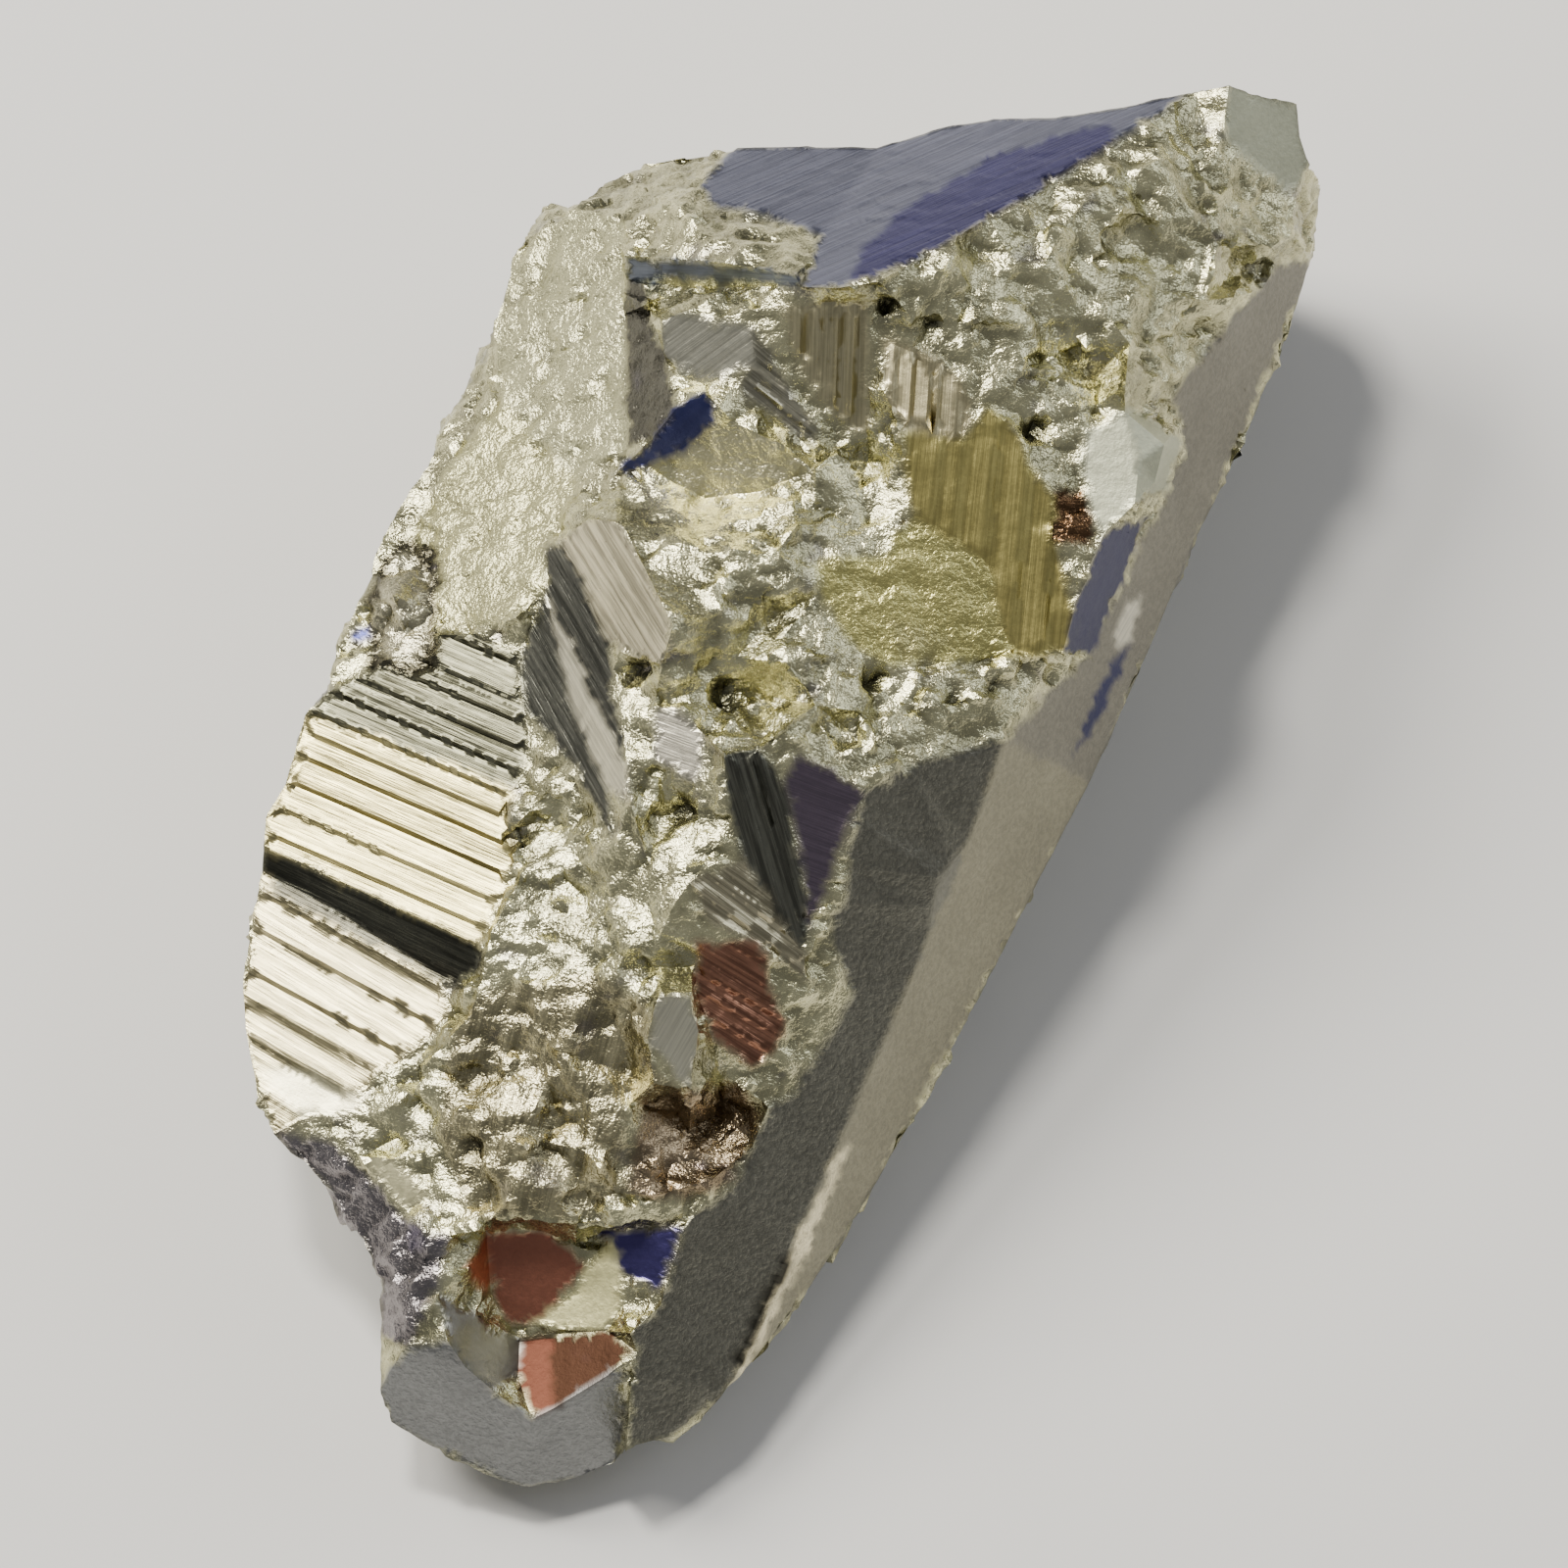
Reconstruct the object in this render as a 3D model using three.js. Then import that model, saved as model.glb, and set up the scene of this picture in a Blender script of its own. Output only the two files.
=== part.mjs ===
// A pyrite specimen: one mass of intergrown crystals, broken open along its front, lying on its flat back.
// The front is surveyed like a small terrain. Each landmark is [across, up, height]: where the eye sees it
// when it looks down at VIEW_LEAN off the vertical, and how high it stands above the table, in millimetres.
import * as THREE from "three";

// Driving dimensions, in millimetres and degrees.
const VIEW_LEAN = 22;
const EDGE_STEP = 1.9;
const BREAK_STEP = 2.15;
const MERGE_WITHIN = 0.25;
const EDGE_WAVER = 0.03;
const SHORTEST_EDGE = 0.35;
const CHIP_SIZE = 5.2;
const CHIP_TILT = 0.42;
const CHIP_LIFT = 0.55;
const STEP_GAP = 0.32;
const STEP_INSET = 0.7;
const SIDE_RINGS = [0.22, 0.46, 0.72, 1];
const SIDE_TUCK = 1.7;
const SIDE_ROUGHNESS = 1.1;
const FLATTEN_ROUNDS = 400;
const FLATTEN_HOLD = 0.004;

// The outer edge of what the eye sees, clockwise from the peak.
const outerEdge = [
  [28.6, 44.9, 30], [30.8, 44.3, 29], [33.1, 43.9, 27.5], [33.3, 41.8, 25.8], [33.9, 40, 24.2],
  [34.8, 38.6, 21.5], [34.6, 36, 18.5], [34.1, 34, 16.5], [33.1, 30.2, 14.5], [31, 25.1, 13],
  [28.7, 20, 12], [26.2, 15, 11.5], [23.1, 7.6, 11], [19.7, 0.2, 10.8], [16.5, -5.9, 10.4],
  [13.2, -12.5, 9.6], [10, -18.6, 8.6], [7, -23.7, 7.6], [4, -28.7, 6.7], [1, -33, 6.2],
  [-2, -36.8, 6.6], [-3.7, -38.6, 7.4], [-5, -40.3, 7.1], [-7, -41.4, 7.2], [-10, -42.1, 7.7],
  [-10.8, -43.2, 3.6], [-13.5, -44.3, 3.2], [-16.2, -44.9, 3.5], [-18.2, -44.3, 3.6], [-22, -42.5, 4.6],
  [-25, -40.6, 6], [-25.7, -38.5, 8.2], [-25.6, -34.8, 10], [-25.8, -31.5, 11], [-26.8, -29, 11.5],
  [-28.8, -26, 12], [-31, -23.8, 12.3], [-32.5, -22.3, 12.5], [-33.5, -20, 13], [-34.3, -16, 13.8],
  [-34.6, -12.5, 14.5], [-34.1, -8.5, 15.2], [-33.4, -5.6, 15.6], [-33.3, -3.9, 17.3], [-33.2, -2.2, 17.3],
  [-31.9, 0, 17.6], [-30.7, 4.4, 18], [-29.2, 6, 18.2], [-28.8, 8.5, 18.5], [-27, 11.7, 19],
  [-26.5, 14, 19.2], [-25.7, 16.2, 19.2], [-23.5, 19.8, 19.3], [-21, 24.5, 19.4], [-18.8, 29.5, 19.6],
  [-17.8, 32.5, 20], [-17.6, 34, 20.4], [-16.8, 35.2, 21], [-13.5, 37.2, 22.2], [-11.8, 38.8, 22.6],
  [-9, 40, 23.2], [-6, 40.7, 24], [-3, 41.1, 24.8], [1.5, 41.1, 25.8], [6, 41, 26.8],
  [10, 42.3, 27.2], [13.5, 42.9, 27.8], [17.5, 42.9, 28.6], [22, 43.6, 29.2], [26.5, 44.6, 29.8],
];

// Where the specimen meets the table, as the eye would see it through the stone.
const foot = [
  [-16, -42.4], [-9.5, -40.6], [-3, -35], [5, -22.5], [13, -7], [20, 8], [26.5, 23], [28.5, 32],
  [22, 35.5], [8, 34], [-6, 33], [-12, 28], [-17, 17], [-22, 5], [-25, -6], [-26, -16], [-23, -27],
  [-20.5, -35], [-20, -40],
];
const footCentre = [-2, -2];

// The flat faces. Growth steps run along a face at an angle across the view, a pitch apart and a rise high.
const faces = {
  peakCrystal: {
    outline: [
      [28.6, 44.9, 30], [30.8, 44.3, 29], [33.1, 43.9, 27.5], [33.3, 41.8, 25.8], [33.9, 40, 24.2],
      [33, 38, 24.6], [31, 39.2, 26.8], [28.2, 41.6, 29.6],
    ],
  },
  farSlope: {
    outline: [
      [6, 41, 26.8], [10, 42.3, 27.2], [13.5, 42.9, 27.8], [17.5, 42.9, 28.6], [22, 43.6, 29.2],
      [26.5, 44.6, 29.8], [22, 41.7, 32], [19.2, 39.9, 33.4], [16, 37.8, 34.4], [13, 36, 35.2],
      [9, 33.6, 36.2], [6, 31.8, 36.8], [3.5, 31.4, 36.4], [1, 31.5, 36], [2.5, 35, 34],
    ],
  },
  farShoulder: {
    outline: [
      [-5.2, 38.8, 28.4], [-3, 41.1, 24.8], [1.5, 41.1, 25.8], [6, 41, 26.8], [2.5, 35, 34],
      [-1, 36.3, 32.2], [-5, 37.4, 30],
    ],
  },
  ledgeBand: {
    outline: [
      [-10.1, 33.8, 30.8], [-4.2, 33.2, 35], [0.7, 32.3, 36], [1, 31.5, 36], [-1.5, 31.6, 35.6],
      [-6.5, 31.8, 34], [-10.1, 32.3, 31],
    ],
  },
  innerWall: {
    outline: [
      [-10.1, 32.3, 31], [-9, 32, 32.5], [-8.2, 28.5, 33.2], [-7, 25, 33], [-6.9, 23.8, 32.5],
      [-8.2, 22.2, 30.5], [-10, 21.4, 28], [-10, 25, 27.6], [-10.3, 30, 27.6], [-10.5, 33, 28],
    ],
  },
  upperFlank: {
    outline: [
      [-18.8, 29.5, 19.6], [-17.8, 32.5, 20], [-17.6, 34, 20.4], [-16.8, 35.2, 21], [-13.5, 37.2, 22.2],
      [-10.2, 36.2, 27.6], [-10.5, 33, 28], [-10.3, 30, 27.6], [-10, 25, 27.6], [-10, 21.4, 28],
      [-10.9, 19.6, 27.8], [-13, 19.6, 26], [-16, 22, 23.5], [-18.3, 25.2, 21],
    ],
  },
  middleFlank: {
    outline: [
      [-18.3, 25.2, 21], [-16, 22, 23.5], [-13, 19.6, 26], [-13.8, 18, 26.2], [-15.2, 15, 25.6],
      [-15.2, 12.3, 25.3], [-17, 10.6, 24], [-19.5, 9.6, 22.5], [-22.3, 9.5, 20.8], [-22.6, 12.5, 20.6],
      [-24.3, 15.3, 20], [-21.8, 20, 20],
    ],
  },
  striatedFlank: {
    steps: { along: -23, pitch: 1.55, rise: 0.34 },
    outline: [
      [-30.7, 4.4, 18], [-29.2, 6, 18.2], [-26, 7.6, 19.5], [-22.3, 9.5, 20.8], [-19.5, 9.6, 22.5],
      [-16.9, 8.3, 22.8], [-16.4, 4.5, 22.3], [-16.2, 1.5, 22], [-17.6, -1, 21.3], [-17.2, -5, 21.2],
      [-18.2, -8, 20.8], [-19.2, -10.3, 20.4], [-28, -6.3, 18.3], [-33.3, -3.9, 17.3], [-33.2, -2.2, 17.3],
      [-31.9, 0, 17.6],
    ],
  },
  flankRiser: {
    outline: [
      [-33.3, -3.9, 17.3], [-28, -6.3, 18.3], [-19.2, -10.3, 20.4], [-19.6, -12.2, 18.4],
      [-22.3, -11.9, 17.4],
      [-27, -9, 16.6], [-31, -6.6, 15.9], [-33.4, -5.6, 15.6],
    ],
  },
  lowerFlank: {
    steps: { along: -28, pitch: 2.1, rise: 0.28 },
    outline: [
      [-33.4, -5.6, 15.6], [-31, -6.6, 15.9], [-27, -9, 16.6], [-22.3, -11.9, 17.4], [-21, -14.5, 17.4],
      [-23, -17, 16.6], [-25.5, -18.5, 15.8], [-28, -20.3, 14.8], [-31, -21.5, 13.5], [-32.5, -22.3, 12.5],
      [-33.5, -20, 13], [-34.3, -16, 13.8], [-34.6, -12.5, 14.5], [-34.1, -8.5, 15.2],
    ],
  },
  ridgeFace: {
    outline: [
      [-14.3, 15.4, 28], [-12.5, 16.9, 29], [-10.3, 16.6, 31], [-9, 14, 31.8], [-8, 12, 32.2],
      [-7, 10, 32.3], [-7.7, 7.6, 31.5], [-9.3, 7.9, 30.8], [-11.2, 8.9, 30], [-12.3, 11.5, 29.2],
      [-13.3, 13.9, 28.4],
    ],
  },
  ridgeDarkSide: {
    outline: [
      [-15.2, 15, 25.6], [-14.3, 15.4, 28], [-13.3, 13.9, 28.4], [-12.3, 11.5, 29.2], [-11.2, 8.9, 30],
      [-10.4, 5.5, 29.5], [-9.9, 1.2, 28], [-11, 3, 26.3], [-12.2, 5, 25.8], [-13.9, 9.7, 25.5],
      [-15.2, 12.3, 25.3],
    ],
  },
  ridgeTread: {
    outline: [
      [-15.2, 12.3, 25.3], [-13.9, 9.7, 25.5], [-12.2, 5, 25.8], [-11, 3, 26.3], [-9.9, 1.2, 28],
      [-9.7, -1.2, 26.4], [-11.2, -0.3, 25.2], [-12.6, 2, 25], [-13.5, 5, 24.9], [-14.4, 8.5, 25],
    ],
  },
  ridgeFootSide: {
    outline: [
      [-15.2, 12.3, 25.3], [-14.4, 8.5, 25], [-13.5, 5, 24.9], [-12.6, 2, 25], [-11.2, -0.3, 25.2],
      [-10.8, -4, 23.8], [-12, -1.4, 22.6], [-13.2, 1, 22.2], [-14.9, 3, 22.2], [-16.4, 4.5, 22.3],
      [-16.9, 8.3, 22.8],
    ],
  },
  brightChip: {
    outline: [
      [-8.3, 5, 29], [-6.5, 4.5, 29.3], [-5.2, 3.3, 29.3], [-5.1, 1, 28.6], [-5.6, 0, 28], [-8.2, 1.6, 28],
    ],
  },
  leafCrystal: {
    steps: { along: -73, pitch: 0.95, rise: 0.22 },
    outline: [
      [-3.8, 2, 29.5], [-1.5, 2.3, 29.3], [0, 0.2, 28.2], [1, -4, 26.3], [1.7, -9, 23.6], [1.2, -10.6, 22.8],
      [-0.8, -8.3, 24.6], [-2.6, -4.8, 26.8], [-3.6, -1, 28.6],
    ],
  },
  purpleFace: {
    outline: [
      [0, 0.2, 28.2], [1, 2, 28.4], [4.9, -0.4, 26], [3.2, -5, 24], [2.9, -7.6, 22.8], [1.7, -9, 23.6],
      [1, -4, 26.3],
    ],
  },
  slantFace: {
    steps: { along: -36, pitch: 1, rise: 0.24 },
    outline: [
      [-6, -6.2, 26.6], [-4.4, -5.4, 27], [-2.6, -4.8, 26.8], [-0.8, -8.3, 24.6], [1.2, -10.6, 22.8],
      [1.5, -12.3, 21.8], [-1.5, -10, 23.8], [-4.8, -8.4, 25.4],
    ],
  },
  copperFan: {
    steps: { along: -30, pitch: 1.2, rise: 0.25 },
    outline: [
      [-5.6, -9.9, 24.8], [-1.5, -10, 23.8], [-0.9, -13, 21.8], [0.2, -15, 20.4], [-0.8, -17.2, 19],
      [-2, -18, 18.6], [-4.5, -16, 20.4], [-5.5, -13, 22.8],
    ],
  },
  greyFacet: {
    outline: [
      [-7.8, 29.5, 33.2], [-6.4, 29.9, 33.8], [-4, 29.6, 34.5], [-2, 29, 35], [-2, 26.6, 33.8],
      [-5, 25.4, 32.6], [-6.7, 26, 32.5], [-7.7, 27.4, 32.8],
    ],
  },
  wedgeCrystal: {
    steps: { along: -38, pitch: 0.75, rise: 0.22 },
    outline: [
      [-2, 29, 35], [0.2, 25.5, 33.4], [2.3, 22.3, 31.4], [1, 22, 31], [-3, 25.1, 32.4], [-2, 26.6, 33.8],
    ],
  },
  blueLens: {
    outline: [
      [-5, 24.9, 32.4], [-4.4, 24.3, 32], [-4.6, 22.7, 31.4], [-6.4, 21, 30.2], [-8.6, 20.2, 29],
      [-10.9, 19.6, 27.8], [-9.2, 21.2, 29.5], [-8.2, 22.2, 30.5], [-6.9, 23.8, 32],
    ],
  },
  creamFace: {
    outline: [
      [-4.6, 22.7, 31.4], [-3.3, 23, 31.6], [0, 21.5, 31], [2, 20, 30.6], [-1.5, 18.6, 31], [-5, 18.2, 30.8],
      [-6.8, 19, 30.2], [-6.4, 21, 30.2],
    ],
  },
  leftColumn: {
    steps: { along: 88, pitch: 0.9, rise: 0.3 },
    outline: [
      [0, 30.4, 35.6], [5.4, 30.7, 36.4], [5.5, 26, 33], [5.3, 22.2, 31], [3.3, 23, 31.4], [3, 25, 32.6],
      [0.4, 27.6, 34.2],
    ],
  },
  rightColumn: {
    steps: { along: 86, pitch: 0.95, rise: 0.28 },
    outline: [
      [6.1, 28.6, 35], [10.3, 26.9, 33.6], [12, 24.4, 32], [11.4, 22, 31], [7.4, 22.4, 31.4], [6.3, 25, 32.6],
    ],
  },
  goldenFace: {
    steps: { along: 84, pitch: 1.9, rise: 0.22 },
    outline: [
      [7.4, 22.4, 31.4], [11.4, 22, 31], [12.8, 23.9, 31.5], [14.2, 23.2, 31], [16.4, 20, 30],
      [17.1, 18, 29.6],
      [17.2, 15.4, 29], [18.4, 11, 28], [17.7, 8.3, 27.5], [14.5, 8, 28], [12.6, 14.3, 29.5], [8, 17, 30.2],
    ],
  },
  goldenFloor: {
    outline: [
      [2, 14.2, 30.8], [6.5, 14.6, 30.4], [8, 17, 30.2], [12.6, 14.3, 29.5], [14.5, 8, 28], [12, 7.6, 27.8],
      [7, 7.5, 28.4], [4.5, 8.6, 29.2], [2.3, 12, 30.4],
    ],
  },
  darkSlot: {
    outline: [[20.3, 15.8, 27], [23.4, 17.1, 25.2], [19.6, 8.3, 23.8], [17.7, 8.3, 27.5], [18.4, 11, 28]],
  },
  cornerBlock: {
    outline: [
      [19.2, 22.6, 30.2], [21.7, 23.7, 30.6], [22.6, 20.5, 29.9], [22.3, 17.9, 28.8], [20.3, 15.8, 27],
      [19.4, 17.5, 28.4], [18.9, 20, 29.4],
    ],
  },
  darkPlane: {
    outline: [
      [4.9, -0.4, 26], [6.6, 0.8, 26], [9.5, 1.7, 25.4], [14, 2.9, 24.4], [13, -0.3, 23], [11.7, -3.8, 21.5],
      [9.7, -6, 21], [9.3, -9.5, 19.2], [7.5, -14, 17.3], [5, -19.5, 15.1], [3, -24, 13.3], [1.2, -28, 11.7],
      [-0.5, -32.5, 9.8], [-2.3, -36.2, 8.4], [-3.7, -38.6, 7.4], [-5, -40.3, 7.1], [-7, -41.4, 7.2],
      [-10, -42.1, 7.7], [-9.7, -37.4, 10.4], [-9.3, -36, 11.2], [-9.8, -34.8, 12], [-7.8, -33, 12.3],
      [-7.2, -31, 13.2], [-6.1, -27.7, 14.7], [-5, -27, 14.6], [-2.8, -25, 14.9], [-2, -23, 15.8],
      [-1, -20.5, 16.8], [0.5, -19.8, 16.7], [2.5, -16.5, 17.8], [4.3, -13.2, 19], [3, -10, 21.3],
      [2.9, -7.6, 22.8], [3.2, -5, 24],
    ],
  },
  upperSide: {
    outline: [
      [14, 2.9, 24.4], [19.7, 0.2, 10.8], [23.1, 7.6, 11], [26.2, 15, 11.5], [28.7, 20, 12], [31, 25.1, 13],
      [33.1, 30.2, 14.5], [34.1, 34, 16.5], [31.8, 33.5, 25.5], [30, 30.5, 26.3], [28.3, 28.5, 26.8],
      [26, 26.5, 27.3], [25, 24.8, 27.4], [25.8, 21.3, 26.5], [23.4, 17.1, 25.2], [19.6, 8.3, 23.8],
      [18.8, 7.8, 24], [16.5, 6, 24],
    ],
  },
  lowerSide: {
    outline: [
      [14, 2.9, 24.4], [13, -0.3, 23], [11.7, -3.8, 21.5], [9.7, -6, 21], [9.3, -9.5, 19.2], [7.5, -14, 17.3],
      [5, -19.5, 15.1], [3, -24, 13.3], [1.2, -28, 11.7], [-0.5, -32.5, 9.8], [-2.3, -36.2, 8.4],
      [-3.7, -38.6, 7.4], [-2, -36.8, 6.6], [1, -33, 6.2], [4, -28.7, 6.7], [7, -23.7, 7.6], [10, -18.6, 8.6],
      [13.2, -12.5, 9.6], [16.5, -5.9, 10.4], [19.7, 0.2, 10.8],
    ],
  },
  tipLeft: {
    outline: [
      [-16, -40.3, 9], [-16.2, -44.9, 3.5], [-18.2, -44.3, 3.6], [-22, -42.5, 4.6], [-25, -40.6, 6],
      [-25.7, -38.5, 8.2], [-24, -35.6, 12], [-21.3, -35.2, 13.2], [-20.2, -36.9, 11.8], [-18.4, -38.5, 10.4],
    ],
  },
  tipRight: {
    outline: [
      [-16, -40.3, 9], [-14.6, -39.6, 9.3], [-11.2, -37.5, 10.4], [-10.1, -36.9, 10.6], [-10.3, -40, 7],
      [-10.8, -43.2, 3.6], [-13.5, -44.3, 3.2], [-16.2, -44.9, 3.5],
    ],
  },
  hollowLeft: {
    outline: [
      [-21.8, -32.2, 14], [-19.6, -33.7, 12], [-18, -34.6, 10.5], [-16.8, -35.2, 9.2], [-16.9, -37.6, 8.8],
      [-18.4, -38.5, 10.4], [-20.2, -36.9, 11.8], [-21.3, -35.2, 13.2],
    ],
  },
  hollowCopperLow: {
    outline: [
      [-14.9, -35, 8], [-11.3, -34.7, 9.2], [-9.5, -36, 11], [-11.2, -37.5, 10.4], [-14.6, -39.6, 9.3],
    ],
  },
  hollowSalmon: {
    outline: [
      [-16.8, -35.2, 9.2], [-14.9, -35, 8], [-14.6, -39.6, 9.3], [-16, -40.3, 9], [-16.9, -37.6, 8.8],
    ],
  },
  hollowCopperHigh: {
    outline: [
      [-18.9, -28.4, 13], [-17.2, -28.2, 13.2], [-14.8, -28.5, 13], [-13.3, -29.4, 12.4],
      [-12.7, -30.6, 11.8],
      [-13.3, -32.2, 10.6], [-15, -33.6, 9.6], [-16.2, -34.4, 9], [-17.8, -34.2, 9.6], [-18.6, -32.4, 10.8],
      [-18.8, -30, 12],
    ],
  },
  hollowChip: {
    outline: [
      [-20.1, -30.8, 13.6], [-18.9, -28.4, 13], [-18.8, -30, 12], [-18.6, -32.4, 10.8], [-19.8, -31.5, 12.8],
    ],
  },
  hollowCream: {
    outline: [
      [-16.2, -34.4, 9], [-15, -33.6, 9.6], [-13.3, -32.2, 10.6], [-12.7, -30.6, 11.8], [-11.8, -29.6, 12.4],
      [-10.9, -29, 12.8], [-10.3, -31, 11.8], [-10.2, -33, 10.6], [-11.3, -34.7, 9.2], [-14, -34.7, 8.6],
    ],
  },
  hollowBlue: {
    outline: [
      [-12.6, -28.6, 13.2], [-6.3, -28, 14.2], [-7.4, -31, 13], [-7.9, -32, 12.2], [-10.3, -31, 11.8],
      [-10.9, -29, 12.8],
    ],
  },
  creamLens: {
    outline: [
      [-27, -23.6, 14.6], [-24.5, -23.8, 15], [-22.6, -25.2, 15], [-22.4, -26.2, 14.8], [-24, -27, 14],
      [-25.5, -25.8, 14],
    ],
  },
  knobCrystal: {
    outline: [
      [-8, -13.4, 25], [-5.9, -13.4, 24.8], [-5.4, -15.6, 23.6], [-5.8, -19.4, 21], [-8.2, -18.8, 21.5],
      [-8.6, -16, 23.5],
    ],
  },
};

// Sharp edges that bound no flat face: the lip over the hollow, and the lip beside the striated flank.
const lips = [
  [
    [-21.3, -28.6, 15], [-19, -27.9, 15.8], [-16, -27.7, 16.2], [-13, -28.05, 16], [-10, -27.7, 15.8],
    [-6.4, -27.4, 15.2],
  ],
  [[-22.8, -17.8, 17.2], [-19.8, -14.6, 19.4], [-18.6, -9.4, 21.6], [-16.4, -5.2, 22.4]],
];

// Spot heights on the broken surface between the faces.
const spots = [
  // the upper break and the step below it
  [12, 31, 35], [18, 33, 33], [24, 36, 31], [28, 35, 29], [22, 28, 31], [15, 27, 32.6], [27, 31, 28.2],
  [24, 40, 32.4], [30.5, 34.5, 27], [17, 21.5, 30.2], [18.2, 18, 29], [18.4, 13.5, 28.2],
  [24.2, 21.6, 29.4], [23.6, 19.2, 28.4], [33.8, 37.4, 22.5], [32.8, 35.4, 24.5],
  // the left shoulder
  [-8.5, 36.5, 29.8], [-8, 38.6, 26.6], [-7, 34.9, 32], [-3.5, 35, 33.8], [0, 34, 35],
  [-10.1, 35.2, 29], [-8.8, 30.5, 33.4], [-5, 30.8, 34.6], [-1.5, 30.3, 35.4], [-1, 22.8, 31.4],
  [3.6, 21.4, 31], [1.8, 25.7, 33], [-19.6, 26.6, 20.2], [-25, 12, 21.4], [-24.2, 9.6, 20.6],
  [-25.8, 9.2, 19.4],
  // the middle break, with its two pits
  [-6, 15.5, 31.7], [-2, 16, 31.8], [2, 17.5, 31.2], [-4, 12, 31.8], [-1, 12, 31.4], [0, 9.5, 30],
  [-3, 8, 29.4], [-5.5, 8.6, 31.2], [-2.5, 6, 27.2], [-9.8, 6.8, 28.2], [-4.3, 6, 28.2],
  [9.4, 22.9, 31.6], [14.9, 23.6, 31.3], [2, 5, 29.4], [5, 4.5, 28.5], [9, 5, 27.8], [13, 5.5, 26.6],
  [3, 1.7, 28.2], [7, 2.6, 27.2], [-7.5, -1.5, 26], [-5.5, -2.6, 27.2],
  // the lower break
  [-14.5, -2, 22.4], [-14, -6, 22.4], [-11, -7, 24], [-8.5, -5, 26], [-15.6, -10, 21.4],
  [-12, -12, 22.6], [-8, -10, 25], [-16.8, -15, 19.8], [-14, -17, 20.4], [-10.4, -15.5, 21.2],
  [-20, -19, 17.4], [-16, -21, 18.6], [-12, -21, 19.2], [-22, -23, 16], [-18, -25, 17],
  [-13, -25, 17.2], [-9, -23, 17.8], [-6, -22, 16], [-4, -21, 15], [-4.5, -25, 16.4], [-8, -26, 16.6],
  [-2.6, -19.4, 18.2], [-9.6, -18.6, 19.4], [-6.8, -20.8, 16.6], [-4.2, -18, 18.6], [-28, -24.5, 13.4],
  [-24.6, -28.6, 13.2], [-23, -30.2, 14.4], [-24, -33, 12.8], [-22.5, -33.6, 13.8],
];

// A repeatable number from 0 to 1 for a whole-number cell.
function chance(a, b, salt) {
  const wave = Math.sin(a * 127.1 + b * 311.7 + salt * 74.7) * 43758.5453;
  return wave - Math.floor(wave);
}

// The lift of the chipped surface at a place: each chip is a small tilted plane around its own centre.
function chipLift(x, y, size) {
  const column = Math.floor(x / size);
  const row = Math.floor(y / size);
  let nearest = Infinity;
  let lift = 0;
  for (let i = column - 1; i <= column + 1; i++) {
    for (let j = row - 1; j <= row + 1; j++) {
      const away = [x - (i + chance(i, j, 1)) * size, y - (j + chance(i, j, 2)) * size];
      const distance = Math.hypot(...away);
      if (distance > nearest) continue;
      nearest = distance;
      const tilt = [chance(i, j, 3) - 0.5, chance(i, j, 4) - 0.5];
      lift = 2 * CHIP_TILT * (tilt[0] * away[0] + tilt[1] * away[1]) + CHIP_LIFT * (chance(i, j, 5) - 0.5);
    }
  }
  return lift;
}

function between(a, b, share) {
  return a.map((value, k) => value + (b[k] - value) * share);
}

function inside(outline, x, y) {
  let within = false;
  outline.forEach((a, i) => {
    const b = outline[(i + 1) % outline.length];
    if (a[1] > y !== b[1] > y && x < a[0] + ((y - a[1]) / (b[1] - a[1])) * (b[0] - a[0])) within = !within;
  });
  return within;
}

// The survey: points that are shared where they coincide, and the edges that join them.
class Survey {
  points = [];
  edges = [];

  add(point) {
    const found = this.points.findIndex((p) => Math.hypot(p[0] - point[0], p[1] - point[1]) < MERGE_WITHIN);
    return found < 0 ? this.points.push([...point]) - 1 : found;
  }

  // Adds a point a hair off its straight line, so that no three in a row lie exactly on one.
  loosen([x, y, height]) {
    const count = this.points.length;
    const waver = [12, 13].map((salt) => EDGE_WAVER * (chance(count, salt, salt) - 0.5));
    return this.points.push([x + waver[0], y + waver[1], height]) - 1;
  }

  // Joins two points by short straight pieces and returns the indices along them, without the last.
  join(from, to, step) {
    const [a, b] = [this.points[from], this.points[to]];
    const pieces = Math.max(1, Math.round(Math.hypot(b[0] - a[0], b[1] - a[1]) / step));
    const chain = [from];
    for (let k = 1; k < pieces; k++) {
      const point = between(a, b, k / pieces);
      point[0] += EDGE_WAVER * (chance(from, to + k, 6) - 0.5);
      point[1] += EDGE_WAVER * (chance(from, to + k, 7) - 0.5);
      chain.push(this.add(point));
    }
    [...chain, to].slice(1).forEach((next, k) => this.edges.push([chain[k], next]));
    return chain;
  }

  // A straight line of its own points, shared with nothing.
  loose([a, b], step) {
    const pieces = Math.max(1, Math.round(Math.hypot(b[0] - a[0], b[1] - a[1]) / step));
    for (let k = 0; k <= pieces; k++) {
      const next = this.loosen(between(a, b, k / pieces));
      if (k > 0) this.edges.push([next - 1, next]);
    }
  }

  line(corners, closed, step = EDGE_STEP) {
    const marks = corners.map((corner) => this.add(corner));
    const ends = closed ? marks.length : marks.length - 1;
    const chain = [];
    for (let k = 0; k < ends; k++) chain.push(...this.join(marks[k], marks[(k + 1) % marks.length], step));
    return chain;
  }
}

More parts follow.
